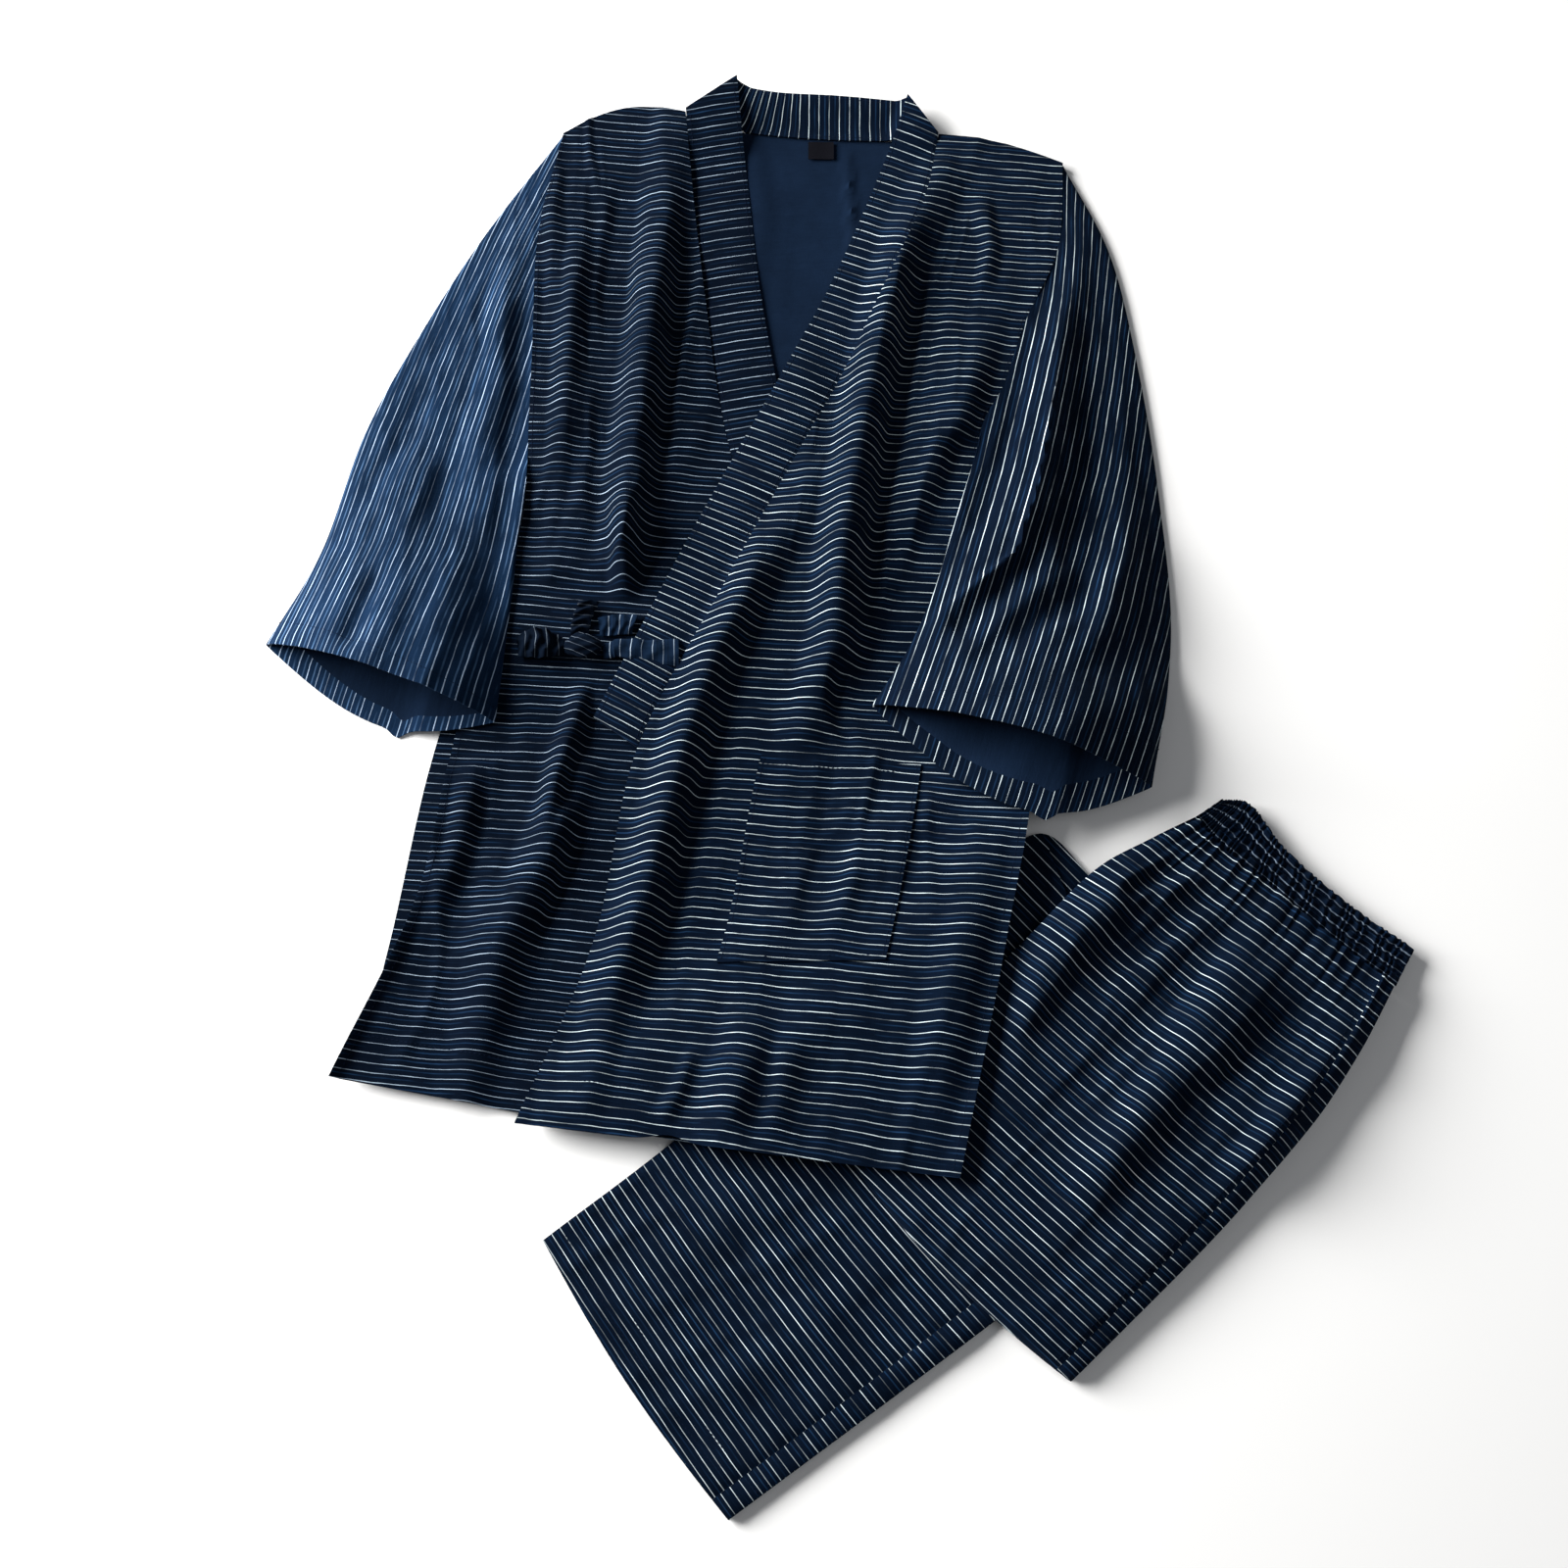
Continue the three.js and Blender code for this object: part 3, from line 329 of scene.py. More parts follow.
# Where the right front is free of what lies on it: each pair is a margin and a reach
def rightFrontFree(x, y, collar, cuff, tie, middle):
    fromTie = np.hypot((x - tieSpot["x"]) / tieSpot["width"], y - tieSpot["y"])
    return (clearOf("underLeftFront", x, y, *collar) * clearOf("underRightCuff", x, y, *cuff)
            * softStep((fromTie - tie[0]) / tie[1]) * softStep((-x - middle[0]) / middle[1]))


def rightFrontFloor(x, y):
    free = rightFrontFree(x, y, (17, 26), (8, 20), (42, 24), (52, 22))
    return overLegs(x, y, 40) + clothStep + foldHeight(rightFrontFolds, x, y) * free


def leftFrontLevel(x, y):
    return overLegs(x, y, 54) + clothStep + bandStep * over("rightWhole", x, y, 17, 30)


def leftFrontFloor(x, y):
    return leftFrontLevel(x, y) + foldHeight(leftFrontFolds, x, y) * clearOf("underLeftSleeve", x, y, 8, 24)


def between(edgeA, edgeB, down, across, letInA=0, letInB=0):
    a, b = along(edgeA, down)[:, None], along(edgeB, down)[:, None]
    width = np.linalg.norm(b - a, axis=2)
    share = mix(letInA / width, 1 - letInB / width, across[None, :])
    return a + (b - a) * share[..., None]


# Straight lines of the stripes on each piece, as the distance across them
def bodyStripes(x, y, height=0):
    lean = np.interp(y, [-290, -200, 0, 200, 400, 560], [0.17, 0.12, 0.085, 0.07, 0.06, 0.12])
    closer = np.interp(y, [-300, 200, 560], [-312, 210, 618])
    return closer + lean * (x + 40) - 0.35 * height + 1.6 * softNoise(x, y, 70, 3)


# Stripes whose angle changes with x: the slope at each x is added up along it
def legStripes(x, y, leg):
    fine = np.linspace(-220, 480, 351)
    slope = np.tan(np.radians(np.interp(fine, leg["x"], leg["angle"])))
    drop = np.cumsum(slope) * (fine[1] - fine[0])
    return 1.05 * (y + np.interp(x, fine, drop)) * math.cos(math.radians(leg["angle"][1]))


def node(tree, kind, inputs=None, **settings):
    made = tree.nodes.new(kind)
    for name, value in settings.items():
        setattr(made, name, value)
    for name, value in (inputs or {}).items():
        if isinstance(value, bpy.types.NodeSocket):
            tree.links.new(value, made.inputs[name])
        else:
            made.inputs[name].default_value = value
    return made


def maths(tree, operation, a, b=0.0, c=0.0):
    return node(tree, "ShaderNodeMath", {0: a, 1: b, 2: c}, operation=operation).outputs[0]


def newMaterial(name):
    material = bpy.data.materials.new(name)
    material.use_nodes = True
    tree = material.node_tree
    shader = tree.nodes["Principled BSDF"]
    return material, tree, shader


# Crinkled woven cotton. The map named cloth holds millimetres: across the stripes, then along them.
def cottonMaterial(name, look):
    material, tree, shader = newMaterial(name)
    cottonMap = node(tree, "ShaderNodeUVMap", uv_map="cloth")
    acrossMm, alongMm, _ = node(tree, "ShaderNodeSeparateXYZ", {0: cottonMap.outputs[0]}).outputs

    def calc(operation, *values):
        return maths(tree, operation, *values)

    def ramp(value, fromLow, fromHigh, toLow=0.0, toHigh=1.0):
        return node(tree, "ShaderNodeMapRange", {"Value": value, "From Min": fromLow, "From Max": fromHigh,
                                                 "To Min": toLow, "To Max": toHigh}).outputs[0]

    def noiseAt(places, detail, roughness=0.5):
        place = node(tree, "ShaderNodeCombineXYZ", dict(enumerate(places)))
        return node(tree, "ShaderNodeTexNoise", {"Vector": place.outputs[0], "Scale": 1.0, "Detail": detail,
                                                 "Roughness": roughness}).outputs[0]

    def clothNoise(scaleAcross, scaleAlong, offset, detail):
        return noiseAt((calc("MULTIPLY", acrossMm, scaleAcross), calc("MULTIPLY", alongMm, scaleAlong), offset),
                       detail, 0.55)

    def mixed(share, under, colour, blend="MIX"):
        return node(tree, "ShaderNodeMix", {0: share, 6: under, 7: colour}, data_type="RGBA",
                    blend_type=blend).outputs[2]

    # Warp and weft threads with their uneven thickness, and worn patches
    threads = calc("MULTIPLY", calc("ADD", clothNoise(2.4, 0.10, 3.0, 1.0), clothNoise(0.10, 2.4, 9.0, 1.0)), 0.5)
    worn = calc("MULTIPLY_ADD", clothNoise(0.03, 0.03, 1.5, 3.0), look["patchContrast"],
                1.0 - look["patchContrast"] * 0.5)
    tone = calc("MULTIPLY_ADD", calc("SUBTRACT", threads, 0.5), look["threadContrast"], 1.0)
    tone = calc("MULTIPLY", tone, worn)
    toneColour = node(tree, "ShaderNodeCombineColor", {0: tone, 1: tone, 2: tone}).outputs[0]
    colour = mixed(1.0, (*look["ground"], 1.0), toneColour, "MULTIPLY")
    height = calc("MULTIPLY_ADD", threads, 0.35, calc("MULTIPLY", clothNoise(0.16, 0.05, 4.0, 3.0), 1.6))
    if look["striped"]:
        pitch = cloth["stripePitch"]
        turns = calc("DIVIDE", calc("MULTIPLY_ADD", clothNoise(0.02, 0.05, 6.0, 1.0), 0.9, acrossMm), pitch)
        stripeNumber = calc("FLOOR", turns)

        def slub(scale, offset, detail):
            stripePlace = calc("MULTIPLY", stripeNumber, 7.31)
            return noiseAt((calc("MULTIPLY", alongMm, scale), stripePlace, offset), detail)

        def fromMiddle(place):
            return calc("ABSOLUTE", calc("SUBTRACT", calc("FRACT", place), 0.5))

        thick = calc("MULTIPLY_ADD", slub(0.05, 2.0, 1.5), look["slubWidth"],
                     look["stripeHalf"] - look["slubWidth"] * 0.5)
        edge = ramp(calc("SUBTRACT", thick, calc("MULTIPLY", fromMiddle(turns), pitch)), -0.11, 0.13)
        strength = ramp(slub(0.022, 8.0, 3.0), 0.33, 0.60, look["stripeFaint"])
        broken = ramp(slub(0.16, 5.0, 1.0), 0.28, 0.5, 0.7)
        # A fainter thin stripe between the white ones, here and there
        faintEdge = ramp(calc("MULTIPLY_ADD", fromMiddle(calc("ADD", turns, 0.44)), -pitch, 0.5), -0.2, 0.25)
        faint = calc("MULTIPLY", faintEdge, ramp(slub(0.03, 15.0, 3.0), 0.4, 0.7))
        colour = mixed(faint, colour, (*look["between"], 1.0))
        colour = mixed(calc("MULTIPLY", calc("MULTIPLY", edge, strength), broken), colour, (*look["stripe"], 1.0))
        height = calc("ADD", height, calc("MULTIPLY", edge, 0.45))
    bump = node(tree, "ShaderNodeBump", {"Strength": look["bump"], "Distance": 0.0006, "Height": height})
    tree.links.new(colour, shader.inputs["Base Color"])
    tree.links.new(bump.outputs[0], shader.inputs["Normal"])
    for socket, value in (("Roughness", look["roughness"]), ("Sheen Weight", look["sheen"]),
                          ("Sheen Roughness", 0.45), ("Sheen Tint", (*look["sheenTint"], 1.0)),
                          ("Specular IOR Level", 0.03)):
        shader.inputs[socket].default_value = value
    return material


stripedLook = {
    "striped": True, "ground": (0.0012, 0.0045, 0.0130), "stripe": (0.80, 0.94, 1.0), "stripeHalf": 0.26,
    "slubWidth": 0.32, "stripeFaint": 0.10, "between": (0.009, 0.030, 0.075), "threadContrast": 1.1,
    "patchContrast": 0.5, "bump": 0.55, "roughness": 0.9, "sheen": 0.03, "sheenTint": (0.35, 0.52, 0.85),
}
# Painted shade: the tie's darker ground and dimmer stripes, for its loops and knot, which lie in shade. The strap
# takes this look with a ground and stripe of its own.
tieLook = {"ground": (0.0011, 0.0036, 0.0095), "between": (0.0020, 0.0060, 0.0140), "stripe": (0.16, 0.20, 0.25),
           "stripeHalf": 0.28}
# What each cotton has of its own. The right front, its band and the back have painted shade: a darker copy of
# the cloth, as they lie in shade. The right sleeve has a painted highlight: a lighter copy, as it turns to the
# window. The tie's loops and knot have painted shade: a darker copy, as they lie in shade.
ownLooks = {
    "stripedCotton": {},
    "shadedCotton": {"ground": (0.0010, 0.0035, 0.0098), "stripe": (0.44, 0.56, 0.70)},
    "litCotton": {"ground": (0.0050, 0.0170, 0.0450), "between": (0.075, 0.150, 0.280),
                  "stripe": (0.46, 0.60, 0.80), "stripeHalf": 0.32, "stripeFaint": 0.05, "patchContrast": 0.9},
    "shadedTieCotton": tieLook,
    "strapCotton": {**tieLook, "ground": (0.0032, 0.0105, 0.0270), "stripe": (0.42, 0.52, 0.64)},
    "waistCotton": {"stripe": (0.20, 0.26, 0.34), "stripeHalf": 0.30},
    "reverseCotton": {"striped": False, "ground": (0.0044, 0.0115, 0.0285), "threadContrast": 0.5,
                      "patchContrast": 0.7},
    "sewingThread": {"striped": False, "ground": (0.006, 0.010, 0.026), "bump": 0.3, "sheen": 0.05},
    "labelTape": {"striped": False, "ground": (0.004, 0.004, 0.006), "bump": 0.3, "sheen": 0.04},
}
cottons = {name: cottonMaterial(name, {**stripedLook, **own}) for name, own in ownLooks.items()}


def linked(name, data):
    made = bpy.data.objects.new(name, data)
    bpy.context.scene.collection.objects.link(made)
    return made


def joined(made, part):
    with bpy.context.temp_override(active_object=made, selected_editable_objects=[made, part]):
        bpy.ops.object.join()
    return made


# points are in layout millimetres, and clothMap has a pair of millimetres for each of them.
def meshObject(name, points, faces, faceMaterials, materials, clothMap, sharpAngle=48):
    mesh = bpy.data.meshes.new(name)
    metres = np.array(points, float)
    metres[:, :2] -= layoutMiddle
    mesh.from_pydata((metres / 1000).tolist(), [], [tuple(face) for face in faces])
    for material in materials:
        mesh.materials.append(cottons[material])
    mesh.polygons.foreach_set("material_index", np.asarray(faceMaterials, np.int32))
    layer = mesh.uv_layers.new(name="cloth")
    corner = np.zeros(len(mesh.loops), np.int32)
    mesh.loops.foreach_get("vertex_index", corner)
    layer.data.foreach_set("uv", np.asarray(clothMap, np.float32)[corner].ravel())
    mesh.polygons.foreach_set("use_smooth", np.ones(len(mesh.polygons), bool))
    mesh.set_sharp_from_angle(angle=math.radians(sharpAngle))
    mesh.validate()
    return linked(name, mesh)


def gridFaces(rowCount, columnCount, wrap=False):
    j, i = np.meshgrid(np.arange(rowCount - 1), np.arange(columnCount - (0 if wrap else 1)), indexing="ij")
    following = (i + 1) % columnCount
    return np.stack([j * columnCount + i, j * columnCount + following, (j + 1) * columnCount + following,
                     (j + 1) * columnCount + i], -1).reshape(-1, 4)


def rimOf(rowCount, columnCount):
    return np.concatenate([np.arange(columnCount), np.arange(1, rowCount) * columnCount + columnCount - 1,
                           (rowCount - 1) * columnCount + np.arange(columnCount - 2, -1, -1),
                           np.arange(rowCount - 2, 0, -1) * columnCount])


# A thin closed shell over a grid of places. lower is the number of the material on its underside, and upperOf
# gives that of its upper side from the place.
def clothSheet(name, places, top, stripes, alongStripes, thick=cloth["shell"], lower=1,
               materials=("stripedCotton", "reverseCotton"), upperOf=None):
    def spread(values):
        return np.broadcast_to(values, places.shape[:2]).reshape(-1)

    flat = places.reshape(-1, 2)
    upperZ = np.maximum(spread(top), cloth["lowestTop"])
    lowerZ = np.maximum(upperZ - spread(thick), cloth["lowestUnder"])
    points = np.vstack([np.column_stack([flat, upperZ]), np.column_stack([flat, lowerZ])])
    count = len(flat)
    quads = gridFaces(*places.shape[:2])
    rim = rimOf(*places.shape[:2])
    following = np.roll(rim, -1)
    side = np.stack([rim, following, following + count, rim + count], -1)
    first, second = places[0, -1] - places[0, 0], places[-1, 0] - places[0, 0]
    if first[0] * second[1] - first[1] * second[0] < 0:
        quads = quads[:, ::-1]
    else:
        side = side[:, ::-1]
    upperNumbers = np.zeros(len(quads), int)
    if upperOf is not None:
        upperNumbers = upperOf(*flat[quads].mean(1).T)
    numbers = np.concatenate([upperNumbers, np.full(len(quads), lower), np.zeros(len(side), int)])
    faces = np.vstack([quads, quads[:, ::-1] + count, side])
    clothMap = np.column_stack([spread(stripes), spread(alongStripes)])
    return meshObject(name, points, faces, numbers, materials, np.vstack([clothMap, clothMap + (0.4, 0.0)]))


# Rows of stitches along lines of points on a piece
stitches = {"pitch": 3.4, "halfLength": 1.15, "halfThickness": 0.24, "lift": 0.1, "shortest": 0.82,
            "longest": 1.12, "seed": 4}


def stitchTree():
    tree = bpy.data.node_groups.new("stitchRows", "GeometryNodeTree")
    tree.interface.new_socket("Lines", in_out="INPUT", socket_type="NodeSocketGeometry")
    for name, key in (("Pitch", "pitch"), ("Half length", "halfLength"), ("Half thickness", "halfThickness")):
        socket = tree.interface.new_socket(name, in_out="INPUT", socket_type="NodeSocketFloat")
        socket.default_value = stitches[key] / 1000
    tree.interface.new_socket("Stitches", in_out="OUTPUT", socket_type="NodeSocketGeometry")
    given = node(tree, "NodeGroupInput").outputs
    curve = node(tree, "GeometryNodeMeshToCurve", {0: given["Lines"]})
    points = node(tree, "GeometryNodeCurveToPoints", {"Curve": curve.outputs[0], "Length": given["Pitch"]},
                  mode="LENGTH")
    bead = node(tree, "GeometryNodeMeshIcoSphere", {"Radius": 1.0, "Subdivisions": 1})
    uneven = node(tree, "FunctionNodeRandomValue", {
        2: stitches["shortest"], 3: stitches["longest"], "Seed": stitches["seed"]}, data_type="FLOAT")
    size = node(tree, "ShaderNodeCombineXYZ", {
        0: given["Half thickness"], 1: given["Half thickness"],
        2: maths(tree, "MULTIPLY", given["Half length"], uneven.outputs[1])})
    rows = node(tree, "GeometryNodeInstanceOnPoints", {
        "Points": points.outputs["Points"], "Instance": bead.outputs[0], "Rotation": points.outputs["Rotation"],
        "Scale": size.outputs[0]})
    real = node(tree, "GeometryNodeRealizeInstances", {0: rows.outputs[0]})
    painted = node(tree, "GeometryNodeSetMaterial", {"Geometry": real.outputs[0],
                                                     "Material": cottons["sewingThread"]})
    node(tree, "NodeGroupOutput", {0: painted.outputs[0]})
    return tree


stitchRows = stitchTree()


# Lines for stitches on a sheet, at rows and columns of its grid
def seams(places, top, rows=(), columns=()):
    surface = np.dstack([places, np.broadcast_to(top, places.shape[:2]) + stitches["lift"]])
    return [surface[row, 1:-1] for row in rows] + [surface[1:-1, column] for column in columns]


def sewn(made, lines):
    points = np.vstack(lines)
    points[:, :2] -= layoutMiddle
    ends = np.cumsum([len(line) for line in lines])
    edges = [(k, k + 1) for k in range(len(points) - 1) if k + 1 not in ends]
    mesh = bpy.data.meshes.new(f"{made.name}Stitches")
    mesh.from_pydata((points / 1000).tolist(), edges, [])
    holder = linked(f"{made.name}Stitches", mesh)
    modifier = holder.modifiers.new("stitches", "NODES")
    modifier.node_group = stitchRows
    finished = bpy.data.meshes.new_from_object(holder.evaluated_get(bpy.context.evaluated_depsgraph_get()))
    holder.modifiers.remove(modifier)
    holder.data = finished
    joined(made, holder)


def finishPiece(made, nodeName):
    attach(made, "root")
    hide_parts(nodeName)


# Fine unevenness of worn cotton, never below 0.
def crumple(x, y, amount, seed):
    soft = 0.5 + 0.5 * softNoise(x, y, 46, seed)
    small = 0.5 + 0.5 * softNoise(x, y, 15, seed + 1)
    return amount * (0.65 * soft + 0.35 * small)


# Jacket back: its plain inside shows at the neck, its striped side along the right front
backGrid = {"rows": 150, "columns": 90}
down, across = steps(0, 1, backGrid["rows"]), steps(0, 1, backGrid["columns"])
high = (down <= 0.5)[:, None]
leftEdge = np.where(high, along(rightSide, down), along(backLeft, (down - 0.5) * 2))
rightEdge = np.where(high, along(leftSide, down), along(backRight, (down - 0.5) * 2))
places = leftEdge[:, None] + (rightEdge - leftEdge)[:, None] * across[None, :, None]
neckLine = np.interp(across, neckRise[:, 0], neckRise[:, 1])
places[..., 1] += neckLine[None, :] * (1 - softStep(down / 0.35))[:, None]
x, y = axesOf(places)
neckCreases = 2.4 * creases(x, y, 96, 150, 26, 11)
neckCreases = neckCreases * softStep((y - 250) / 80) * softStep(down / 0.04)[:, None]
top = overLegs(x, y, 26) + cloth["wall"] - 0.6 + neckCreases
# Its striped side has painted shade: the darker copy of the cotton, as the back lies in shade.
jacketBack = clothSheet("jacketBack", places, top, bodyStripes(x, y) + 3.6, x, lower=0,
                        materials=("shadedCotton", "reverseCotton"), upperOf=lambda px, py: np.where(py < 205, 0, 1))
finishPiece(jacketBack, "jacket_back")
print("back done")


# The two fronts: what lies flat below, the main folds and creases, and where they are free to stand
def rightFrontTop(x, y):
    free = rightFrontFree(x, y, (14, 20), (8, 16), (40, 18), (42, 20))
    level = overLegs(x, y, 40) + clothStep
    top, raised = frontTop(x, y, level, rightFrontFloor(x, y) - level, free, rightFrontCreases, 84)
    besideTie = creaseHeight(tieCreases, x, y)
    return top + besideTie, raised + besideTie


def leftFrontTop(x, y):
    level, free = leftFrontLevel(x, y), clearOf("underLeftSleeve", x, y, 6, 18)
    return frontTop(x, y, level, leftFrontFloor(x, y) - level, free, leftFrontCreases, 76)


def frontTop(x, y, level, folds, free, smaller, angle):
    loose = 2.6 + 1.5 * creases(x, y, angle, 170, 26, 31) + 0.5 * creases(x, y, angle + 8, 70, 12, 37)
    raised = neverBelow(folds + free * (loose + creaseHeight(smaller, x, y)) - 0.3)
    return level + cloth["wall"] - 0.35 + crumple(x, y, 0.5, 20) + raised, raised


frontGrid = {"rows": 260, "columns": 110, "hemRow": -9, "edgeColumn": -3}


def jacketFront(name, seam, side, bow, topOf, nodeName, edgeRoll, cotton, hemLift=None):
    down, across = steps(0, 1, frontGrid["rows"]), steps(0, 1, frontGrid["columns"])
    places = between(seam, side, down, across, cloth["seamGap"], 0)
    places[..., 1] += bow * np.sin(np.pi * across)[None, :] * (1 - softStep(down / 0.12))[:, None]
    if hemLift is not None:
        near = np.exp(-((places[..., 0] - hemLift["x"]) / hemLift["half"]) ** 2)
        places[..., 1] += hemLift["tall"] * softStep((down - 0.93) / 0.07)[:, None] * near
    x, y = axesOf(places)
    top, raised = topOf(x, y)
    # The side edge rolls up a little below the sleeve
    fromEdge = np.linalg.norm(places - places[:, -1:], axis=2)
    top = top + edgeRoll * np.exp(-(fromEdge / 6) ** 2) * softStep((40 - y) / 60)
    made = clothSheet(name, places, top, bodyStripes(x, y, raised), x, materials=(cotton, "reverseCotton"))
    sewn(made, seams(places, top, [frontGrid["hemRow"]], [frontGrid["edgeColumn"]]))
    finishPiece(made, nodeName)


# The right front has painted shade: the darker copy of the cotton, as it lies in shade.
jacketFront("rightFront", rightSeam, rightSide, 13, rightFrontTop, "jacket_right_front",
            5.0, "shadedCotton")
jacketFront("leftFront", leftSeam, leftSide, 5, leftFrontTop, "jacket_left_front",
            1.5, "stripedCotton", {"tall": 5.0, "x": -80, "half": 15})
print("fronts done")

# Patch pocket, a share of the left front's grid
pocket = {"down": (6 / 8, 7.125 / 8, 46), "across": (0.315, 0.72, 44), "lift": 1.5, "stripeShift": 2.6}
down, across = steps(*pocket["down"]), steps(*pocket["across"])
places = between(leftSeam, leftSide, down, across, cloth["seamGap"], 0)
x, y = axesOf(places)
top, raised = leftFrontTop(x, y)
top = top + pocket["lift"]
pocketPatch = clothSheet("pocketPatch", places, top, bodyStripes(x, y, raised) + pocket["stripeShift"], x)
sewn(pocketPatch, seams(places, top, (2, -2), (1, -2)))
finishPiece(pocketPatch, "pocket")


# The collar's tips stand up a little
def tipStand(x, y):
    return band["tipStand"] * softStep((y - 470) / 95) ** 2


band = {"rows": 190, "columns": 15, "puff": 1.3, "thick": 1.7, "lowered": 0.6, "crumple": 0.5,
        "tipStand": 12}


# A doubled collar band, puffed a little between its seam and its folded edge.
def bandPiece(name, seam, edge, floor, stripesOf, nodeName, seed, cotton, tipReach, tailLift=0):
    end = (len(edge) - 1) / 8
    down, across = steps(0, 1, band["rows"]), steps(0, 1, band["columns"])
    a, b = along(seam, down * end)[:, None], along(edge, down)[:, None]
    places = a + (b - a) * across[None, :, None]
    places[..., 1] += tipReach * across[None, :] ** 2 * (1 - softStep(down / 0.06))[:, None]
    x, y = axesOf(places)
    puff = band["puff"] * np.sin(np.pi * across)[None, :] ** 0.7
    tail = tailLift * softStep((down - 0.86) / 0.10)[:, None]
    top = floor(x, y) + tipStand(x, y) + cloth["band"] - band["lowered"] + puff
    top += crumple(x, y, band["crumple"], seed) + tail
    made = clothSheet(name, places, top, stripesOf(x, y), x, thick=band["thick"] + puff, lower=0,
                      materials=(cotton, "reverseCotton"))
    sewn(made, seams(places, top, columns=(1, -2)))
    finishPiece(made, nodeName)


def rightBandStripes(x, y):
    return y - 0.17 * x


def leftBandStripes(x, y):
    return y + np.interp(y, [90, 260], [0.55, 0.40]) * x


# The right band has painted shade: the darker copy of the cotton, as it lies in shade.
bandPiece("rightBand", rightSeam, rightBandEdge, rightFrontFloor, rightBandStripes, "collar_right_band",
          41, "shadedCotton", 4.5)
bandPiece("leftBand", leftSeam, leftBandEdge, leftFrontFloor, leftBandStripes, "collar_left_band",
          43, "stripedCotton", 3.0, 3.6)

# Back of the collar, whose ends run on a little under the front bands
backShape = {"rows": 60, "letOut": 1.9, "middle": 30, "longer": 1.045, "rightTip": 4.2, "leftTip": 2.6,
             "puff": 1.2, "stand": 9, "overBack": 1.1}
down, across = steps(0, 1, backShape["rows"]), steps(0, 1, band["columns"])
places = between(collarBackLow, collarBackTop, down, across, -backShape["letOut"], 0)
places[..., 0] = backShape["middle"] + (places[..., 0] - backShape["middle"]) * backShape["longer"]
tipRise = backShape["rightTip"] * (1 - softStep(down / 0.16))
tipRise += backShape["leftTip"] * (1 - softStep((1 - down) / 0.07))
places[..., 1] += tipRise[:, None] * (across ** 2)[None, :]
x, y = axesOf(places)
ends = softStep(np.minimum(down, 1 - down) / 0.07)[:, None]
puff = backShape["puff"] * np.sin(np.pi * across)[None, :] ** 0.7 * ends
standing = backShape["stand"] * softStep((y - 528) / 34)
standing = mix(tipStand(x, y) - 0.1, standing, ends)
# Its seam edge lies over the edge of the back
standing += backShape["overBack"] * (1 - softStep(across / 0.16))[None, :] * ends
top = standing + cloth["band"] - 0.5 + puff + crumple(x, y, 0.4, 47)
fan = 0.5 * (1 - softStep((x + 36) / 60)) * (y - 525)
backBand = clothSheet("backBand", places, top, x - fan, y, thick=band["thick"] + puff, lower=0)
sewn(backBand, seams(places, top, columns=(1, -2)))
finishPiece(backBand, "collar_back_band")
print("collar done")

tube = {"rows": 164, "cuffRows": 26, "half": 64, "hem": 0.048, "stand": 42, "round": 7, "notch": 6,
        "allowance": 1.5, "sharpAngle": 60}


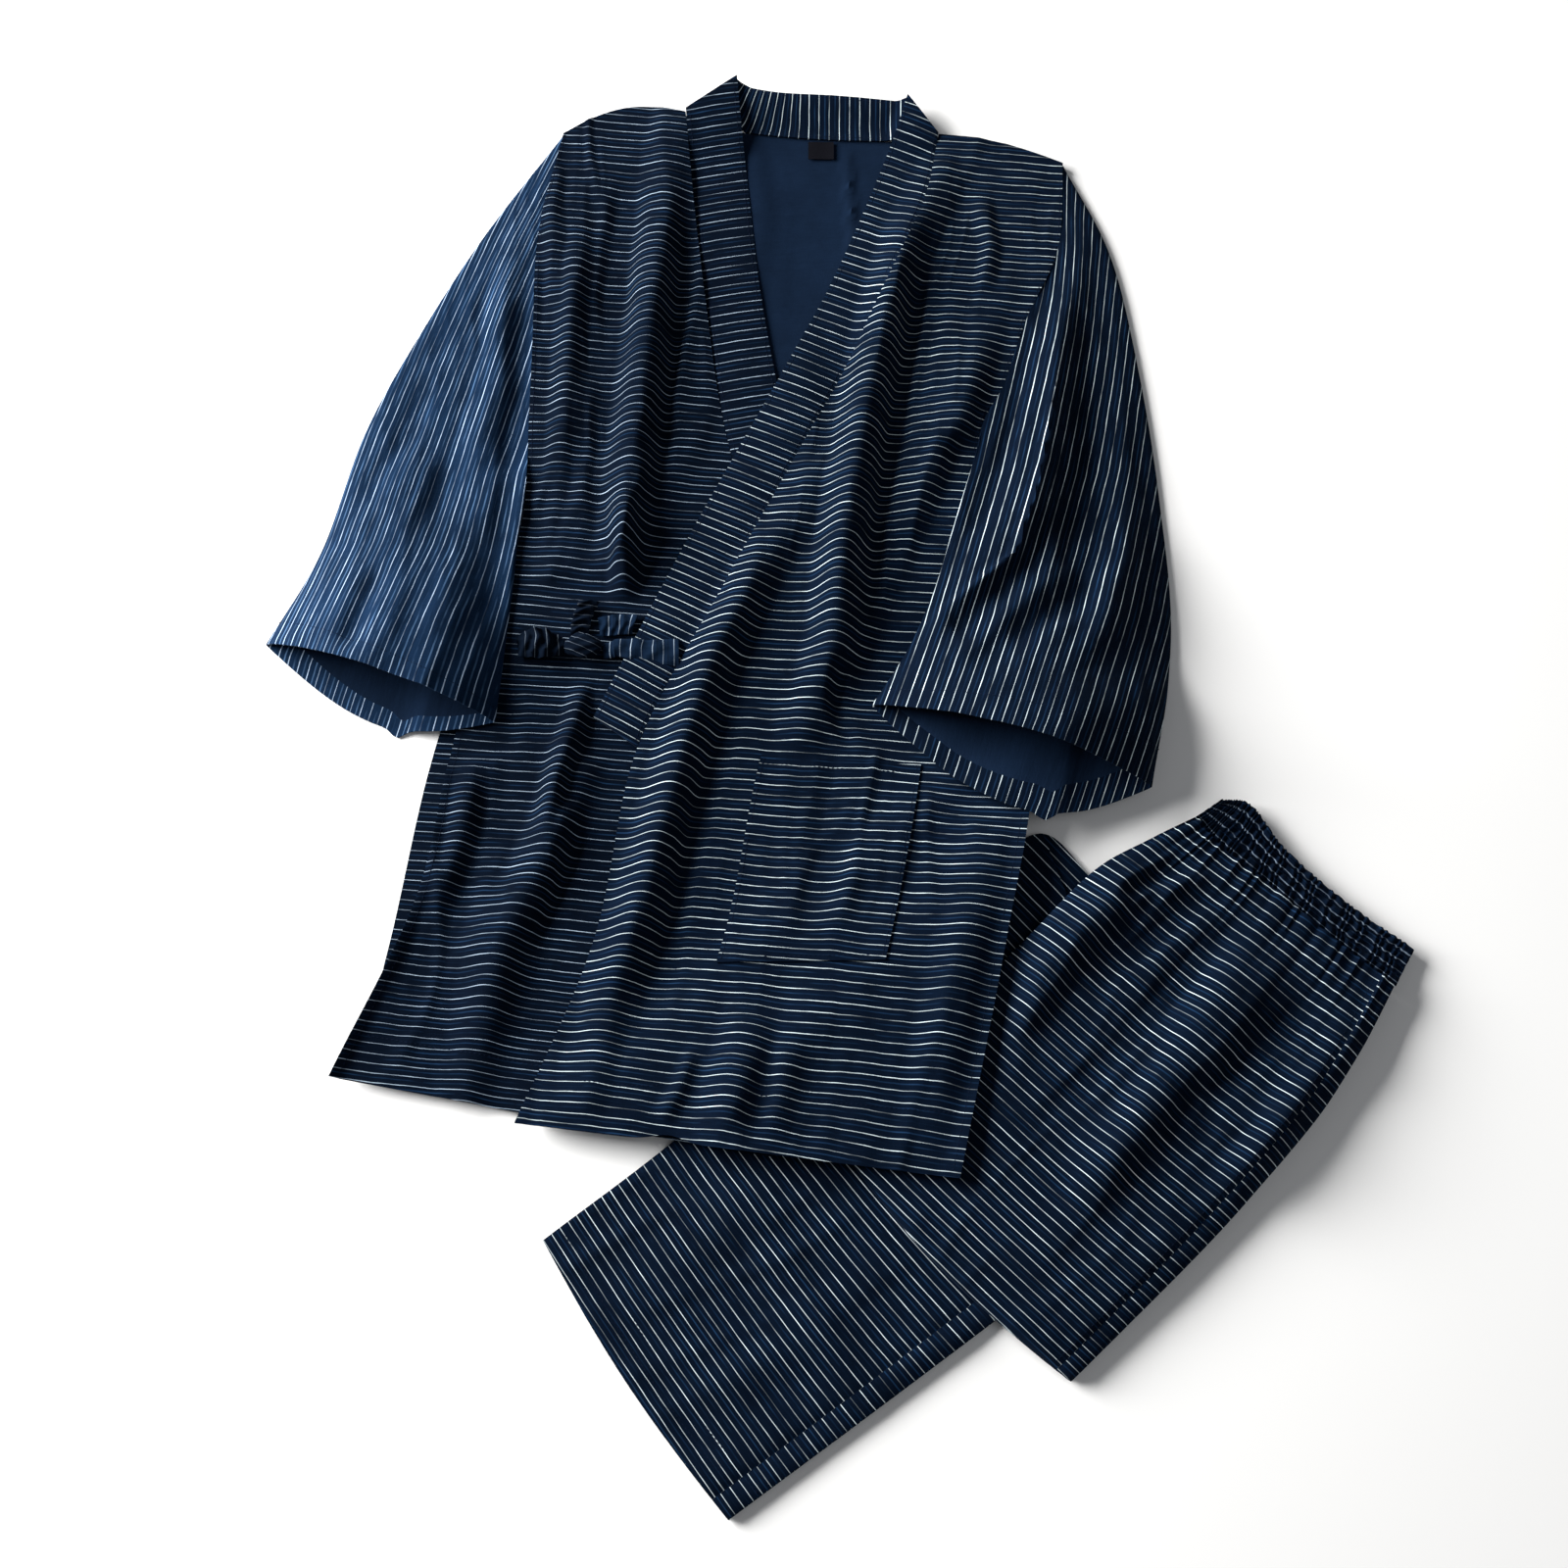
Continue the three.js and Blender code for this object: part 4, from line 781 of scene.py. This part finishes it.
# A flattened tube of cloth from armhole to cuff, standing open at the cuff.
def sleeveTube(name, fold, underarm, armhole, floor, folds, smaller, side, sag, guide, nodeName,
               seed, cotton, ledge=None):
    down = np.concatenate([steps(0, 0.9, tube["rows"]), steps(0.906, 1, tube["cuffRows"])])
    half = tube["half"]
    u = 0.5 - 0.5 * np.cos(np.pi * steps(0, 1, half))
    armholeLine = along(armhole, u / 2)
    straight = mix(armholeLine[0], armholeLine[-1], u[:, None])
    bend = (armholeLine - straight)[None] * ((1 - down) ** 3)[:, None, None]
    a, b = along(fold, down)[:, None], along(underarm, down)[:, None]
    places = a + (b - a) * u[None, :, None] + bend
    places[..., 0] += side * cloth["seamGap"]
    opened = softStep((down - 0.45) / 0.55)[:, None]
    bulge = np.sin(np.pi * u)[None, :]
    width = np.linalg.norm(b - a, axis=2)
    fromEdge = np.minimum(u[None, :], 1 - u[None, :]) * width
    roundness = np.sqrt(1 - (1 - np.clip(fromEdge / tube["round"], 0, 1)) ** 2)
    x, y = axesOf(places)
    lowX, lowY = x, y - sag * opened * bulge
    lowY = lowY - tube["notch"] * opened * np.exp(-((u - guide["notch"]) / 0.035) ** 2)[None, :]
    edgeZ = floor(x, y) + cloth["wall"] + 0.25
    folded = foldHeight(folds, x, y) * bulge ** 0.5 * softStep(down / 0.15)[:, None]
    small = (1.8 + 1.5 * creases(x, y, guide["angle"], 150, 20, seed)
             + 1.2 * creases(x, y, guide["angle"] + 7, 60, 11, seed + 5) + creaseHeight(smaller, x, y))
    if ledge is not None:
        small = small + ledgeHeight(ledge, x, y)
    raised = neverBelow(tube["stand"] * bulge ** 0.8 * opened + folded + small * bulge ** 0.5)
    highZ = floor(x, y) + 2 * cloth["wall"] + 0.3 + raised
    highZ = mix(edgeZ, highZ, roundness)
    lowZ = mix(edgeZ, floor(lowX, lowY), roundness)
    # Seam allowance of the underarm seam inside the sleeve
    lowZ += tube["allowance"] * opened * softStep((u - guide["seam"]) / 0.01)[None, :] * roundness
    lowZ = np.where(fromEdge < 0.01, edgeZ, lowZ)
    # One ring: the under layer from fold to underarm, then the upper layer back again
    inner = slice(1, half - 1)

    def around(low, high, edge):
        return np.concatenate([edge[:, :1], low[:, inner], edge[:, -1:], high[:, inner][:, ::-1]], 1)

    ring = np.stack([around(lowX, x, x), around(lowY, y, y), around(lowZ, highZ, edgeZ)], -1)
    rowCount, columnCount = ring.shape[:2]
    # Inside of the wall, moved in along the ring's own normals
    tangent = np.roll(ring, -1, 1) - np.roll(ring, 1, 1)
    lengthwise = np.gradient(ring, axis=0)
    normal = np.cross(lengthwise, tangent)
    normal /= np.maximum(np.linalg.norm(normal, axis=2, keepdims=True), 1e-9)
    middle = ring.mean(1, keepdims=True)
    if ((ring - middle) * normal).sum() < 0:
        normal = -normal
    inside = ring - normal * cloth["shell"]
    quads = gridFaces(rowCount, columnCount, wrap=True)
    count = rowCount * columnCount
    p = ring.reshape(-1, 3)[quads[count // 2]]
    faceNormal = np.cross(p[1] - p[0], p[2] - p[0])
    flipped = faceNormal @ normal.reshape(-1, 3)[quads[count // 2][0]] < 0
    if flipped:
        quads = quads[:, ::-1]
    ends = []
    for row in (0, rowCount - 1):
        i = np.arange(columnCount) + row * columnCount
        following = (np.arange(columnCount) + 1) % columnCount + row * columnCount
        end = np.stack([i, following, following + count, i + count], -1)
        ends.append(end[:, ::-1] if (row == 0) == flipped else end)
    hemStart = 1 - tube["hem"]
    insideNumbers = np.where(down[quads.min(1) // columnCount] > hemStart, 0, 1)
    numbers = np.concatenate([np.zeros(len(quads), int), insideNumbers, np.zeros(2 * columnCount, int)])
    faces = np.vstack([quads, quads[:, ::-1] + count, *ends])
    flatX, flatY, lift = around(x, x, x), around(y, y, y), around(0 * x, raised, 0 * x)
    guideX = np.interp(flatY, guide["y"], guide["x"])
    stripes = flatX - guideX
    # Near the folded edge the stripes turn to run along it
    atEdge = np.interp(flatY, fold[::-1, 1], fold[::-1, 0] - fold[-2, 0])
    inward = np.concatenate([u, u[inner][::-1]])[None, :]
    stripes += guide["edge"] * (1 - softStep(inward / 0.45)) * (guideX - atEdge)
    atUnderarm = np.interp(flatY, underarm[::-1, 1], underarm[::-1, 0] - underarm[0, 0])
    nearUnderarm = guide["underarm"] * softStep((inward - 0.5) / 0.5) * np.where(flatY < 240, 1.0, 0.0)
    stripes += nearUnderarm * (guideX - atUnderarm)
    stripes = guide["closer"] * stripes - guide["lift"] * lift
    clothMap = np.column_stack([stripes.reshape(-1), flatY.reshape(-1)])
    made = meshObject(name, np.vstack([ring.reshape(-1, 3), inside.reshape(-1, 3)]), faces, numbers,
                      (cotton, "reverseCotton"), np.vstack([clothMap, clothMap]), tube["sharpAngle"])
    hemRow = int(np.argmin(np.abs(down - hemStart)))
    hem = np.vstack([ring[hemRow], ring[hemRow, :1]])
    hem = hem + normal[hemRow, [*range(columnCount), 0]] * stitches["lift"]
    hem[:, 2] = np.maximum(hem[:, 2], stitches["halfThickness"])
    sewn(made, [hem])
    finishPiece(made, nodeName)


def onFronts(name, x, y, reach):
    return (2 * clothStep + looseLay / 2) * over(name, x, y, 20, reach)


def rightSleeveFloor(x, y):
    return onFronts("rightFront", x, y, 26) * softStep((265 - y) / 40)


def leftSleeveFloor(x, y):
    return overLegs(x, y, 84) + onFronts("leftFront", x, y, 28) * softStep((335 - y) / 40)


rightGuide = {"y": [-20, 60, 180, 240, 530], "x": [-78, -50, -14, 0, 81], "angle": 72, "closer": 1.06,
              "edge": 0.28, "underarm": 0.5, "lift": 0.0, "seam": 0.64, "notch": 0.58}
leftGuide = {"y": [-60, 30, 120, 240, 510], "x": [-104, -68, -36, 0, 65], "angle": 102, "closer": 1.0,
             "edge": 0.15, "underarm": 0.0, "lift": 0.06, "seam": 0.33, "notch": 0.39}
# The right sleeve has a painted highlight: the lighter copy of the cotton, as it turns to the window.
sleeveTube("rightSleeve", rightFold, rightUnderarm, rightSide, rightSleeveFloor, rightSleeveFolds,
           rightSleeveCreases, -1, 31, rightGuide, "right_sleeve", 61, "litCotton")
sleeveTube("leftSleeve", leftFold, leftUnderarm, leftSide, leftSleeveFloor, leftSleeveFolds, leftSleeveCreases, 1,
           48, leftGuide, "left_sleeve", 67, "stripedCotton",
           leftSleeveLedge)
print("sleeves done")


# Turns the named sides of a sheet down over a soft edge.
def rolled(places, top, sides, drop, reach):
    def travelled(axis):
        step = np.linalg.norm(np.diff(places, axis=axis), axis=2)
        return np.concatenate([np.zeros_like(step.take([0], axis)), np.cumsum(step, axis)], axis)

    down, across = travelled(0), travelled(1)
    distances = {"start": down, "end": down[-1:] - down, "first": across, "last": across[:, -1:] - across}
    for side in sides:
        share = np.clip(distances[side] / reach, 0, 1)
        top = top - drop * (1 - np.sqrt(1 - (1 - share) ** 2))
    return top


def bowed(places, outward, bow):
    return places + np.array(outward) / np.linalg.norm(outward) * bow[..., None]


def leftLegPlaces(down, across, letIn):
    plain = between(leftLegUpper, leftLegLower, down, across, letIn, letIn)
    bow = legs["hemBow"] * np.sin(np.pi * across)[None, :] * (1 - softStep(down / 0.2))[:, None]
    return bowed(plain, leftLegLower[0] - leftLegLower[1], bow)


def rightLegPlaces(down, across, letIn):
    plain = between(rightLegUpper, rightLegLower, down, across, letIn, letIn)
    u = mix(0.01, 0.99, across)
    bend = along(bandLow, u) - mix(bandLow[0], bandLow[-1], u[:, None])
    plain = plain + bend[None] * ((1 - down) ** 3)[:, None, None]
    bow = legs["foldBow"] * np.sin(np.pi * across)[None, :] * softStep((down - 0.75) / 0.25)[:, None]
    return bowed(plain, rightLegUpper[-1] - rightLegUpper[-2], bow)


# Hidden layers, each a thin sheet let in a little differently at its edges. layerOf gives the places, the top and
# the stripes of one.
def layerStack(name, nodeName, layers, layerOf):
    made = None
    for index, (letIn, raised, thick) in enumerate(layers):
        places, top, stripes = layerOf(letIn, raised)
        part = clothSheet(f"{name}{index}", places, top, stripes, places[..., 0], thick=thick, lower=0)
        made = part if made is None else joined(made, part)
    made.name = name
    finishPiece(made, nodeName)


def legLayer(places, floor, raised, angle):
    x, y = axesOf(places)
    top = rolled(places, floor(x, y) + raised, ["start", "first", "last"], 0.5, 3)
    return places, top, legStripes(x, y, angle)


# For each hidden layer: how far it is let in, its height and its thickness
hidden = {
    "left": [(1.0, 1.1, 1.1), (3.4, 2.5, 1.2), (0.6, 4.2, 1.4)],
    "right": [(2.0, 1.3, 1.2), (4.0, 3.1, 1.3), (1.2, 5.3, 1.7)],
    "waist": [(2.2, 1.3, 0.7), (3.4, 3.1, 0.8), (2.4, 5.3, 1.2)],
}
leftAngle = {"x": [-160, 0, 120], "angle": [56.0, 52.5, 47.0]}
rightAngle = {"x": [60, 200, 330, 430], "angle": [45.0, 42.5, 39.0, 37.0]}
legSeam = {"left": 0.925, "right": 0.945, "half": 0.0006}


# Shares across a leg with two columns close together at its seam
def seamSteps(count, seam):
    return np.sort(np.append(steps(0, 1, count), [seam - legSeam["half"], seam + legSeam["half"]]))


# A shallow groove along the seam of a leg, whose stripes don't meet there
def seamGroove(across, seam, depth, halfWidth):
    return depth * np.exp(-((across - seam) / halfWidth) ** 2)[None, :]


layerStack("leftLegLayers", "left_leg_hidden_layers", hidden["left"],
           lambda letIn, raised: legLayer(leftLegPlaces(steps(0, 1, 110), steps(0, 1, 44), letIn),
                                          lambda x, y: 0 * x, raised, leftAngle))
across = seamSteps(62, legSeam["left"])
places = leftLegPlaces(steps(0, legs["panelShare"], 120), across, 1)
x, y = axesOf(places)
openLeg = clearOf("rightLeg", x, y, 6, 30) * clearOf("leftFront", x, y, 4, 26)
top = legs["leftCore"] + cloth["seamGap"] + cloth["wall"] - 0.5 + foldHeight(leftLegFolds, x, y) * openLeg
relief = 1.5 + 1.6 * creases(x, y, 34, 130, 30, 73) + creaseHeight(leftLegCreases, x, y)
top = top + crumple(x, y, 0.7, 71) + neverBelow(openLeg * relief - 0.5)
top = rolled(places, top, ["start", "first", "last"], 1.2, 4)
top -= seamGroove(across, legSeam["left"], 0.9, 0.010)
stripes = legStripes(x, y, leftAngle) + 3.4 * (across > legSeam["left"])[None, :]
leftLeg = clothSheet("leftLeg", places, top, stripes, y)
sewn(leftLeg, seams(places, top, (4, 7)))
finishPiece(leftLeg, "left_leg_panel")

layerStack("rightLegLayers", "right_leg_hidden_layers", hidden["right"],
           lambda letIn, raised: legLayer(rightLegPlaces(steps(0.012, 1, 90), steps(0, 1, 50), letIn),
                                          lambda x, y: overLeftLeg(x, y, 6), raised, rightAngle))
down, across = steps(0, 1, 150), seamSteps(110, legSeam["right"])
places = rightLegPlaces(down, across, 1)
x, y = axesOf(places)
openLeg = clearOf("leftFront", x, y, 4, 26)
top = overLeftLeg(x, y, 22) + legs["rightCore"] + cloth["seamGap"] + looseLay + cloth["wall"] - 0.5
relief = 2.2 + 1.1 * creases(x, y, 52, 120, 22, 83) + creaseHeight(rightLegCreases, x, y)
relief = neverBelow(openLeg * (0.35 * foldHeight(rightLegFolds, x, y) + relief) - 0.4)
top += relief + crumple(x, y, 0.7, 81)
# Gathers let out of the waistband fade down the leg
legGathers = {"count": 15, "tall": 3.4, "legLength": 320, "shortest": 40, "spread": 34}
gatherWave = across * legGathers["count"] + 0.35 * np.sin(across * 31) + 0.2 * np.sin(across * 73)
reached = legGathers["shortest"] + legGathers["spread"] * (0.5 + 0.5 * np.sin(across * 47 + 1))
gatherFade = np.exp(-(down[:, None] * legGathers["legLength"]) / reached[None, :])
top += legGathers["tall"] * gatherFade * (0.5 + 0.5 * np.cos(2 * np.pi * gatherWave))[None, :]
top = rolled(places, top, ["end"], 5.0, 9)
top = rolled(places, top, ["first", "last"], 2.0, 5)
top -= seamGroove(across, legSeam["right"], 1.2, 0.009)
stripes = legStripes(x, y, rightAngle) + 3.8 * (across > legSeam["right"])[None, :]
rightLeg = clothSheet("rightLeg", places, top, stripes, y)
sewn(rightLeg, seams(places, top, columns=[int(np.argmax(across > legSeam["right"])) - 4]))
finishPiece(rightLeg, "right_leg_panel")
print("legs done")

# Gathered waistband: a wave along the band, pinched at each row of elastic stitching
waist = {"gathers": 34, "stitchRows": (0.27, 0.52, 0.77), "depth": 3.0, "puff": 1.8, "columns": 34, "wide": 33,
         "long": 480, "layerGrid": (160, 12)}
down, across = steps(0, 1, 420), steps(0, 1, waist["columns"])
places = between(bandLow, bandTop, down, across, 0.3, 0)
x, y = axesOf(places)
phase = down * waist["gathers"] + 0.3 * np.sin(down * 41) + 0.25 * np.sin(down * 97 + 2)
wave = 0.5 + 0.5 * np.sin(2 * np.pi * (phase[:, None] + 0.16 * np.sin(across * 9 + down[:, None] * 23)))
pinch = 1 - 0.85 * sum(np.exp(-((across - row) / 0.045) ** 2) for row in waist["stitchRows"])
top = overLeftLeg(x, y, 6) + legs["rightCore"] + cloth["seamGap"] + cloth["wall"] - 0.4
top += (waist["puff"] + waist["depth"] * wave) * pinch[None, :]
top = rolled(places, top, ["last"], 2.0, 4)
waistStripes = across[None, :] * waist["wide"] + 1.3 * wave
waistCloth = clothSheet("waistCloth", places, top, waistStripes, down[:, None] * waist["long"],
                        materials=("waistCotton", "reverseCotton"))
sewn(waistCloth, seams(places, top, columns=[int(row * waist["columns"]) for row in waist["stitchRows"]]))
finishPiece(waistCloth, "waistband")


def waistLayer(letIn, raised):
    down, across = (steps(0, 1, count) for count in waist["layerGrid"])
    places = between(bandLow, bandTop, down, across, letIn, letIn - 2)
    top = overLeftLeg(places[..., 0], places[..., 1], 6) + raised - 0.3 + 0.25 * np.sin(down * 200)[:, None]
    return places, top, across[None, :] * waist["wide"]


layerStack("waistLayers", "waistband_hidden_layers", hidden["waist"], waistLayer)
print("waistband done")

# Tie
onFront = 2 * clothStep + looseLay / 2


def ribbon(name, nodeName, upperEdge, lowerEdge, heightAt, ripple=0.5, puff=1.4, cotton="shadedTieCotton"):
    down, across = steps(0, 1, 80), steps(0, 1, 17)
    places = between(upperEdge, lowerEdge, down, across)
    x, y = places[..., 0].copy(), places[..., 1].copy()
    places[..., 0] += 1.1 * softNoise(x, y, 9, 95)
    places[..., 1] += 1.2 * softNoise(x, y, 11, 97)
    raised = puff * np.sin(np.pi * across)[None, :] ** 0.6
    twist = np.sin(down[:, None] * 24 + 1.6 * np.sin(across[None, :] * 5))
    top = heightAt(x, y) + cloth["wall"] - 0.5 + raised + crumple(x, y, 0.4, 91)
    top = top + ripple * (2 + softNoise(x, 2.2 * y, 6, 99) + twist)
    length = np.concatenate([[0], np.cumsum(np.linalg.norm(np.diff(places[:, 6], axis=0), axis=1))])
    made = clothSheet(name, places, top, length[:, None], across[None, :] * 16,
                      thick=cloth["shell"] + raised, lower=0, materials=(cotton, cotton))
    finishPiece(made, nodeName)


def strapHeight(x, y):
    onBand = 2 * bandStep + clothStep
    climbing = mix(onFront, onBand, softStep((x + 134) / 18))
    return np.maximum(climbing, np.where(x > -125, leftFrontFloor(x, y) + bandStep + looseLay / 2, 0))


def plainHeight(x, y):
    return onFront + 0 * x


def loopHeight(x, y):
    return onFront + 7 * np.maximum(0, 1 - ((x + 180) / 16) ** 2)


ribbon("tieStrap", "tie_strap", table((-78, 107), (-106, 108), (-133, 107)),
       table((-78, 87), (-106, 91), (-133, 95)), strapHeight, 0.5, 2.4, "strapCotton")
ribbon("tieUpperStrap", "tie_upper_strap", table((-108, 128), (-124, 128), (-138, 126)),
       table((-112, 113), (-125, 112), (-136, 113)), plainHeight, cotton="strapCotton")
# The loops have painted shade: the darker tie cotton, as they lie in shade.
ribbon("tieUpLoop", "tie_up_loop", table((-136, 137), (-142, 126), (-144, 113)),
       table((-152, 139), (-156, 126), (-157, 113)), plainHeight, 1.2)
ribbon("tieSideLoop", "tie_side_loop", table((-163, 109), (-180, 116), (-197, 110)),
       table((-163, 97), (-180, 92), (-196, 94)), loopHeight, 1.3)

knot = {"x": -148, "y": 102.5, "halfLength": 14, "halfWidth": 9, "halfHeight": 6, "round": 56, "rings": 30}
turnsRound, turnsUp = np.meshgrid(steps(0, 2 * np.pi, knot["round"] + 1)[:-1],
                                  steps(0.02, np.pi - 0.02, knot["rings"]))
swell = 1 + 0.13 * np.sin(3 * turnsRound + 4 * turnsUp) + 0.09 * np.sin(7 * turnsRound - 3 * turnsUp)
knotX = knot["x"] + knot["halfLength"] * np.cos(turnsUp)
knotY = knot["y"] + knot["halfWidth"] * swell * np.sin(turnsUp) * np.cos(turnsRound)
knotZ = onFront + knot["halfHeight"] * (1 + swell * np.sin(turnsUp) * np.sin(turnsRound))
knotPoints = np.stack([knotX, knotY, knotZ], -1).reshape(-1, 3)
knotFaces = [tuple(face) for face in gridFaces(knot["rings"], knot["round"], wrap=True)[:, ::-1]]
knotFaces += [tuple(range(knot["round"])),
              tuple(range(len(knotPoints) - 1, len(knotPoints) - 1 - knot["round"], -1))]
knotMap = np.column_stack([knotY.reshape(-1) * 1.4 + knotX.reshape(-1) * 0.6, knotX.reshape(-1)])
# The knot has painted shade: the darker tie cotton, as it lies in shade.
tieKnot = meshObject("tieKnot", knotPoints, knotFaces, np.zeros(len(knotFaces), int), ["shadedTieCotton"], knotMap)
finishPiece(tieKnot, "tie_knot")
print("tie done")

# Bare neck label
places = np.stack(np.meshgrid(steps(19, 39, 9), steps(521, 506, 7)), -1)
x, y = axesOf(places)
neckLabel = clothSheet("neckLabel", places, clothStep + 0.9 + 0.15 * np.sin(x / 3), y, x, thick=0.6, lower=0,
                       materials=("labelTape", "labelTape"))
finishPiece(neckLabel, "neck_label")

# Floor, light and camera, in metres
room = {"half": 3, "floorZ": -0.0004, "floorColour": (0.92, 0.92, 0.92, 1), "floorRoughness": 0.9,
        "skyColour": (0.95, 0.97, 1.0, 1), "skyStrength": 0.11}
floorMesh = bpy.data.meshes.new("floor")
floorMesh.from_pydata([(x * room["half"], y * room["half"], room["floorZ"])
                       for x, y in ((-1, -1), (1, -1), (1, 1), (-1, 1))], [], [(0, 1, 2, 3)])
floor = linked("floor", floorMesh)
floorMaterial, _, floorShader = newMaterial("paleFloor")
floorShader.inputs["Base Color"].default_value = room["floorColour"]
floorShader.inputs["Roughness"].default_value = room["floorRoughness"]
floorMesh.materials.append(floorMaterial)

world = bpy.data.worlds.new("softRoom")
bpy.context.scene.world = world
world.use_nodes = True
sky = world.node_tree.nodes["Background"].inputs
sky[0].default_value, sky[1].default_value = room["skyColour"], room["skyStrength"]


def aimed(made, place, aim):
    made.location = place
    made.rotation_euler = (Vector(aim) - Vector(place)).to_track_quat("-Z", "Y").to_euler()


def areaLight(name, place, size, power, colour):
    light = bpy.data.lights.new(name, "AREA")
    light.shape = "RECTANGLE"
    light.size, light.size_y = size
    light.energy = power
    light.color = colour
    aimed(linked(name, light), place, (0, 0, 0))


areaLight("window", (-2.9, 1.25, 1.4), (2.4, 1.8), 400, (1.0, 0.99, 0.97))
areaLight("fill", (1.2, -0.6, 2.6), (2.0, 2.0), 10, (0.95, 0.97, 1.0))
bpy.context.scene.view_settings.view_transform = "Standard"

camera = bpy.data.cameras.new("photoCamera")
camera.lens = 54
camera.sensor_width = 36
cameraObject = linked("photoCamera", camera)
aimed(cameraObject, (-0.03315, -0.47132, 1.65587), (-0.03315, -0.02763, 0))
bpy.context.scene.camera = cameraObject
